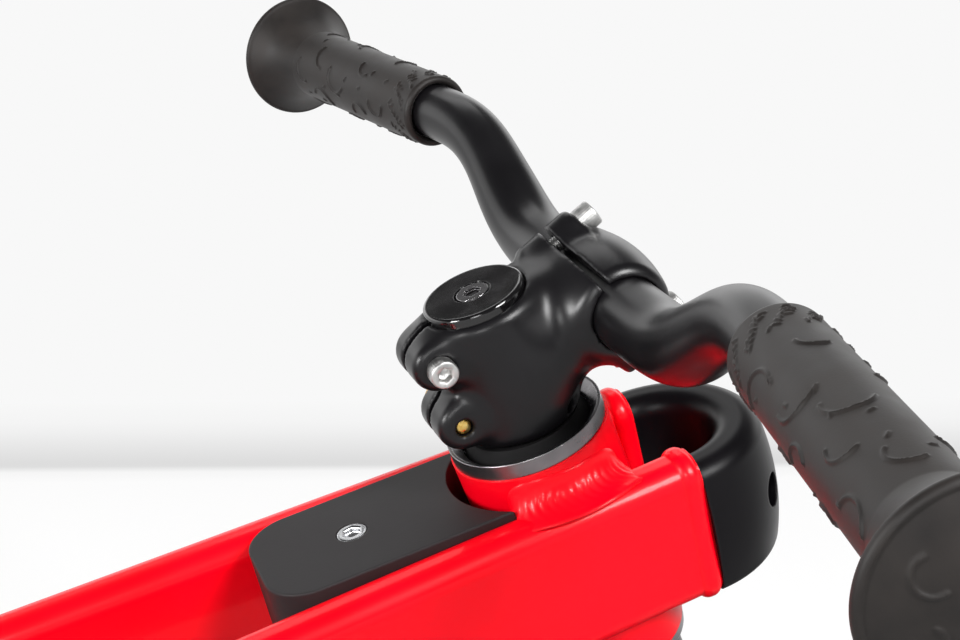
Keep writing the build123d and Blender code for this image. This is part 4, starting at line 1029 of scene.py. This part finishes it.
def makeCushion():
    spec = saddle
    low, high = [Vector(corner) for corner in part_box("saddle_cushion")]
    mesh = bpy.data.meshes.new("SaddleCushion")
    work = weldedCopy("saddle_cushion")
    work.to_mesh(mesh)
    work.free()
    piece = showPiece("SaddleCushion", mesh, "PebbledVinyl")
    skin = piece.modifiers.new("Skin", "REMESH")
    skin.mode, skin.voxel_size = "VOXEL", spec["voxel"] * mm
    inset = piece.modifiers.new("Inset", "DISPLACE")
    inset.mid_level, inset.strength = 0.0, -spec["shrink"] * mm
    settle(piece)
    points = pointsOf(piece.data)
    cloth = piece.modifiers.new("Foam", "CLOTH")
    cloth.settings.use_pressure = True
    cloth.settings.uniform_pressure_force = spec["pressure"]
    cloth.settings.effector_weights.gravity = 0.0
    cloth.point_cache.frame_start, cloth.point_cache.frame_end = 1, spec["frames"]
    for step in range(1, spec["frames"] + 1):
        bpy.context.scene.frame_set(step)
    settle(piece)
    bpy.context.scene.frame_set(1)
    move = pointsOf(piece.data) - points
    far = np.maximum(np.linalg.norm(move, axis=1), 1e-9)
    points += move * np.minimum(1, spec["cap"] * mm / far)[:, None]
    # The foot of the cushion stays flat on its shell and the crown keeps its height
    points[:, 2] = np.clip(points[:, 2], low.z + spec["lift"] * mm, high.z)
    piece.data.vertices.foreach_set("co", points.ravel())
    piece.data.update()
    finer = piece.modifiers.new("Finer", "SUBSURF")
    finer.levels = finer.render_levels = 1
    settle(piece)
    piece.data.materials.clear()
    piece.data.materials.append(finish["PebbledVinyl"])
    carry(piece, "seat", "saddle_cushion")
    return piece, low, high


def skinLoop(piece, low, high, height):
    # Points and normals round the cushion at a level, found by rays from its spine
    skin = surfaceOf(piece.data)
    middle, half = (low.x + high.x) / 2, (high.x - low.x) * saddle["spine"]
    level = low.z + (high.z - low.z) * height
    spots, normals = [], []
    for turn in fullTurn(saddle["loop"]):
        start = Vector((middle + half * cos(turn), 0, level))
        way = Vector((saddle["fan"] * cos(turn), sin(turn), 0)).normalized()
        spot, normal = skin.ray_cast(start, way, saddle["reach"] * mm)[:2]
        if spot is not None:
            spots.append(list(spot))
            normals.append(list(normal))
    return np.array(spots), np.array(normals)


def makePiping(piece, low, high):
    path, out = skinLoop(piece, low, high, saddle["seamHeight"])
    for _ in range(saddle["pipeEasing"]):
        path = (np.roll(path, 1, axis=0) + 2 * path + np.roll(path, -1, axis=0)) / 4
    rise = np.cross(unit(np.roll(path, -1, axis=0) - np.roll(path, 1, axis=0)), out)
    grid = np.stack([path + (cos(t) * out + sin(t) * rise) * saddle["pipe"] * mm
                     for t in fullTurn(saddle["pipeColumns"])], axis=1)
    mesh = gridMesh("SaddlePiping", np.concatenate((grid, grid[:1])))
    carry(showPiece("SaddlePiping", mesh, "PebbledVinyl"), "seat")


def makeStitches(piece, low, high):
    # Stitches run beside the piping, each a short bent capsule of thread
    spec = saddle
    lift = spec["stitchLift"] * mm / (high.z - low.z)
    spots, normals = skinLoop(piece, low, high, spec["seamHeight"] + lift)
    gaps = runLength(spots)
    pitch, rows = spec["stitch"] + spec["stitchGap"], spec["stitchRows"]
    arch = np.sin(np.linspace(0, pi, rows))
    thin = spec["stitchRadius"] * mm * np.sqrt(np.clip(arch, spec["stitchThin"], 1))
    ring = fullTurn(spec["stitchColumns"])[:, None]
    grids = []
    for index in range(int(gaps[-1] / pitch)):
        along = np.linspace(index * pitch, index * pitch + spec["stitch"], rows)
        line = np.stack([np.interp(along, gaps, spots[:, axis]) for axis in range(3)], axis=1)
        normal = normals[int(np.searchsorted(gaps, along[rows // 2]))]
        line = line + normal * ((arch * spec["stitchArch"] - spec["stitchSink"]) * mm)[:, None]
        side = np.cross(unit(line[-1] - line[0]), normal)
        grids.append([spot + wide * (np.cos(ring) * normal + np.sin(ring) * side)
                      for spot, wide in zip(line, thin)])
    carry(showPiece("SaddleStitches", joinGrids("SaddleStitches", grids), "PolyesterThread"),
          "seat")


cushion = makeCushion()
makePiping(*cushion)
makeStitches(*cushion)
print("saddle done")

# Camera solved from the photograph, as a place beside the steering cap and three turns
view = {
    "capRise": 50.3, "fromCap": (-159.68, -448.70, 171.53), "clipStart": 20.0,
    "azimuth": radians(-19.87), "elevation": radians(20.74), "roll": radians(-0.36),
    "focalPixels": 1744.1, "imageWidth": 960, "sensor": 36.0,
}


def makeCamera():
    az, el, turn = view["azimuth"], view["elevation"], view["roll"]
    back = Vector((sin(az) * cos(el), -cos(az) * cos(el), sin(el)))
    right = (-back).cross(Vector((0, 0, 1))).normalized()
    up = right.cross(-back)
    right, up = cos(turn) * right + sin(turn) * up, cos(turn) * up - sin(turn) * right
    camera = bpy.data.objects.new("Camera", bpy.data.cameras.new("Camera"))
    camera.data.sensor_width = view["sensor"]
    camera.data.lens = view["focalPixels"] * view["sensor"] / view["imageWidth"]
    camera.data.clip_start = view["clipStart"] * mm
    place = steer @ Vector((0, 0, view["capRise"] * mm)) + Vector(view["fromCap"]) * mm
    camera.matrix_world = Matrix.Translation(place) @ Matrix((right, up, back)).transposed().to_4x4()
    bpy.context.scene.collection.objects.link(camera)
    bpy.context.scene.camera = camera
    return camera


camera = makeCamera()
print("camera done")

# Studio: pale floor, greyer towards the camera and with a soft grey band behind the bike where a paper roll
# would fold up, both painted shade, and soft boxes
studio = {
    "size": 60.0,
    # metres from the camera along the paper, colour, and how much of the light there is even glow; the grey
    # near the camera and the grey band from 1.3 m on are painted shade
    "paperAndPaintedShade": [(0.5, "#B4B4B4", 0.1), (1.03, "#FFFFFF", 0.6), (1.3036, "#FFFFFF", 0.6),
             (1.3229, "#F9F9F9", 0.65), (1.3346, "#E0E0E0", 0.67), (1.3425, "#E0E0E0", 0.69),
             (1.3624, "#E6E6E6", 0.74), (1.3828, "#ECECEC", 0.79), (1.4038, "#F2F2F2", 0.84),
             (1.4255, "#F6F6F6", 0.89), (1.4705, "#F8F8F8", 1.0)],
    "far": (1.4, 2.6), "farPaper": "#F8F8F8", "shade": "#949494",
    "wall": 0.94, "wallTop": (0.18, 0.26), "room": 0.1,
    "backdrop": 1.9, "bandTop": (0.34, 0.44), "bandSide": (0.0, 0.5),
    # place, width and height in metres, watts; each is aimed at the stem
    "lamps": {
        "Key": ((0.75, -1.3, 1.84), (0.7, 0.7), 52.0),
        "Fill": ((-0.9, -1.5, 1.3), (0.6, 0.6), 12.0),
        "Side": ((-1.37, -0.27, 0.9), (0.4, 0.4), 20.0),
        "Back": ((0.31, 1.28, 1.54), (0.9, 0.5), 3.0),
    },
}


def floorPaper(bike):
    material = bpy.data.materials.new("WhitePaperWithPaintedShade")
    material.use_nodes = True
    tree = material.node_tree
    tree.nodes.clear()
    spot = addNode(tree, "ShaderNodeTexCoord").outputs["Object"]
    place = addNode(tree, "ShaderNodeSeparateXYZ", links={"Vector": spot})
    paperAndPaintedShade = studio["paperAndPaintedShade"]
    near, past = paperAndPaintedShade[0][0], paperAndPaintedShade[-1][0]
    share = addNode(tree, "ShaderNodeMapRange", {"From Min": near, "From Max": past},
                    {"Value": place.outputs["Y"]})
    # Painted shade: the ramp greys the paper towards the camera and in a band where it would fold up to the
    # backdrop
    ramp = addNode(tree, "ShaderNodeValToRGB", links={"Fac": share.outputs["Result"]})
    stops = ramp.color_ramp.elements
    for row in paperAndPaintedShade[1:-1]:
        stops.new((row[0] - near) / (past - near))
    for stop, (_, code, even) in zip(stops, paperAndPaintedShade):
        stop.color = (*hexColour(code)[:3], even)
    # Far from the bike the paper is lit evenly; under it the lamps' light and shadow stay
    reach = addNode(tree, "ShaderNodeVectorMath", {"operation": "DISTANCE", 1: bike}, {0: spot})
    far = addNode(tree, "ShaderNodeMapRange",
                  {"From Min": studio["far"][0], "From Max": studio["far"][1],
                   "interpolation_type": "SMOOTHSTEP"}, {"Value": reach.outputs["Value"]}).outputs["Result"]
    paper = addNode(tree, "ShaderNodeMix", {"data_type": "RGBA", 7: hexColour(studio["farPaper"])},
                    {0: far, 6: ramp.outputs["Color"]}).outputs[2]
    even = addNode(tree, "ShaderNodeMath", {"operation": "MAXIMUM"}, {0: ramp.outputs["Alpha"], 1: far})
    # The eye and every reflection see the paper with its painted shade; its bounced light is the grey of
    # paper in shade
    path = addNode(tree, "ShaderNodeLightPath").outputs
    seen = path["Is Camera Ray"]
    for ray in ("Is Glossy Ray", "Is Transmission Ray"):
        seen = addNode(tree, "ShaderNodeMath", {"operation": "ADD", "use_clamp": True},
                       {0: seen, 1: path[ray]}).outputs["Value"]
    tint = addNode(tree, "ShaderNodeMix", {"data_type": "RGBA", 6: hexColour(studio["shade"])},
                   {0: seen, 7: paper})
    matte = addNode(tree, "ShaderNodeBsdfDiffuse", links={"Color": tint.outputs[2]})
    glow = addNode(tree, "ShaderNodeEmission", links={"Color": paper})
    even = addNode(tree, "ShaderNodeMath", {"operation": "MULTIPLY"}, {0: seen, 1: even.outputs["Value"]})
    mix = addNode(tree, "ShaderNodeMixShader",
                  links={0: even.outputs["Value"], 1: matte.outputs["BSDF"], 2: glow.outputs["Emission"]})
    addNode(tree, "ShaderNodeOutputMaterial", links={"Surface": mix.outputs["Shader"]})
    return material


def makeWorld():
    # A pale wall low all round and a brighter backdrop behind the bike, in a dim room
    world = bpy.data.worlds.new("Studio")
    world.use_nodes = True
    tree = world.node_tree
    sky = addNode(tree, "ShaderNodeSeparateXYZ",
                  links={"Vector": addNode(tree, "ShaderNodeTexCoord").outputs["Generated"]})
    shares = []
    for axis, (start, end) in (("Z", studio["bandTop"][::-1]), ("Y", studio["bandSide"]),
                               ("Z", studio["wallTop"][::-1])):
        settings = {"From Min": start, "From Max": end, "interpolation_type": "SMOOTHSTEP"}
        shares.append(addNode(tree, "ShaderNodeMapRange", settings,
                              {"Value": sky.outputs[axis]}).outputs["Result"])
    band = addNode(tree, "ShaderNodeMath", {"operation": "MULTIPLY"}, {0: shares[0], 1: shares[1]})
    light = addNode(tree, "ShaderNodeMapRange", {"To Min": studio["room"], "To Max": studio["backdrop"]},
                    {"Value": band.outputs["Value"]})
    wall = addNode(tree, "ShaderNodeMath", {"operation": "MULTIPLY", 1: studio["wall"]}, {0: shares[2]})
    light = addNode(tree, "ShaderNodeMath", {"operation": "MAXIMUM"},
                    {0: light.outputs["Result"], 1: wall.outputs["Value"]})
    tree.links.new(light.outputs["Value"], tree.nodes["Background"].inputs["Color"])
    bpy.context.scene.world = world


def makeStudio():
    half = studio["size"] / 2
    mesh = bpy.data.meshes.new("Floor")
    mesh.from_pydata([(-half, -half, 0), (half, -half, 0), (half, half, 0), (-half, half, 0)], [],
                     [(0, 1, 2, 3)])
    paper = bpy.data.objects.new("Floor", mesh)
    paper.location = (camera.matrix_world.translation.x, camera.matrix_world.translation.y, 0)
    mesh.materials.append(floorPaper(Matrix.Rotation(-view["azimuth"], 3, "Z") @ -paper.location))
    paper.rotation_euler.z = view["azimuth"]
    bpy.context.scene.collection.objects.link(paper)
    for name, (place, size, watts) in studio["lamps"].items():
        lamp = bpy.data.lights.new(name, "AREA")
        lamp.shape = "RECTANGLE"
        lamp.size, lamp.size_y = size
        lamp.energy = watts
        item = bpy.data.objects.new(name, lamp)
        item.location = place
        item.rotation_euler = (steer.translation - item.location).to_track_quat("-Z", "Y").to_euler()
        bpy.context.scene.collection.objects.link(item)
    makeWorld()


makeStudio()
bpy.context.scene.view_settings.view_transform = "Standard"
print("studio done")
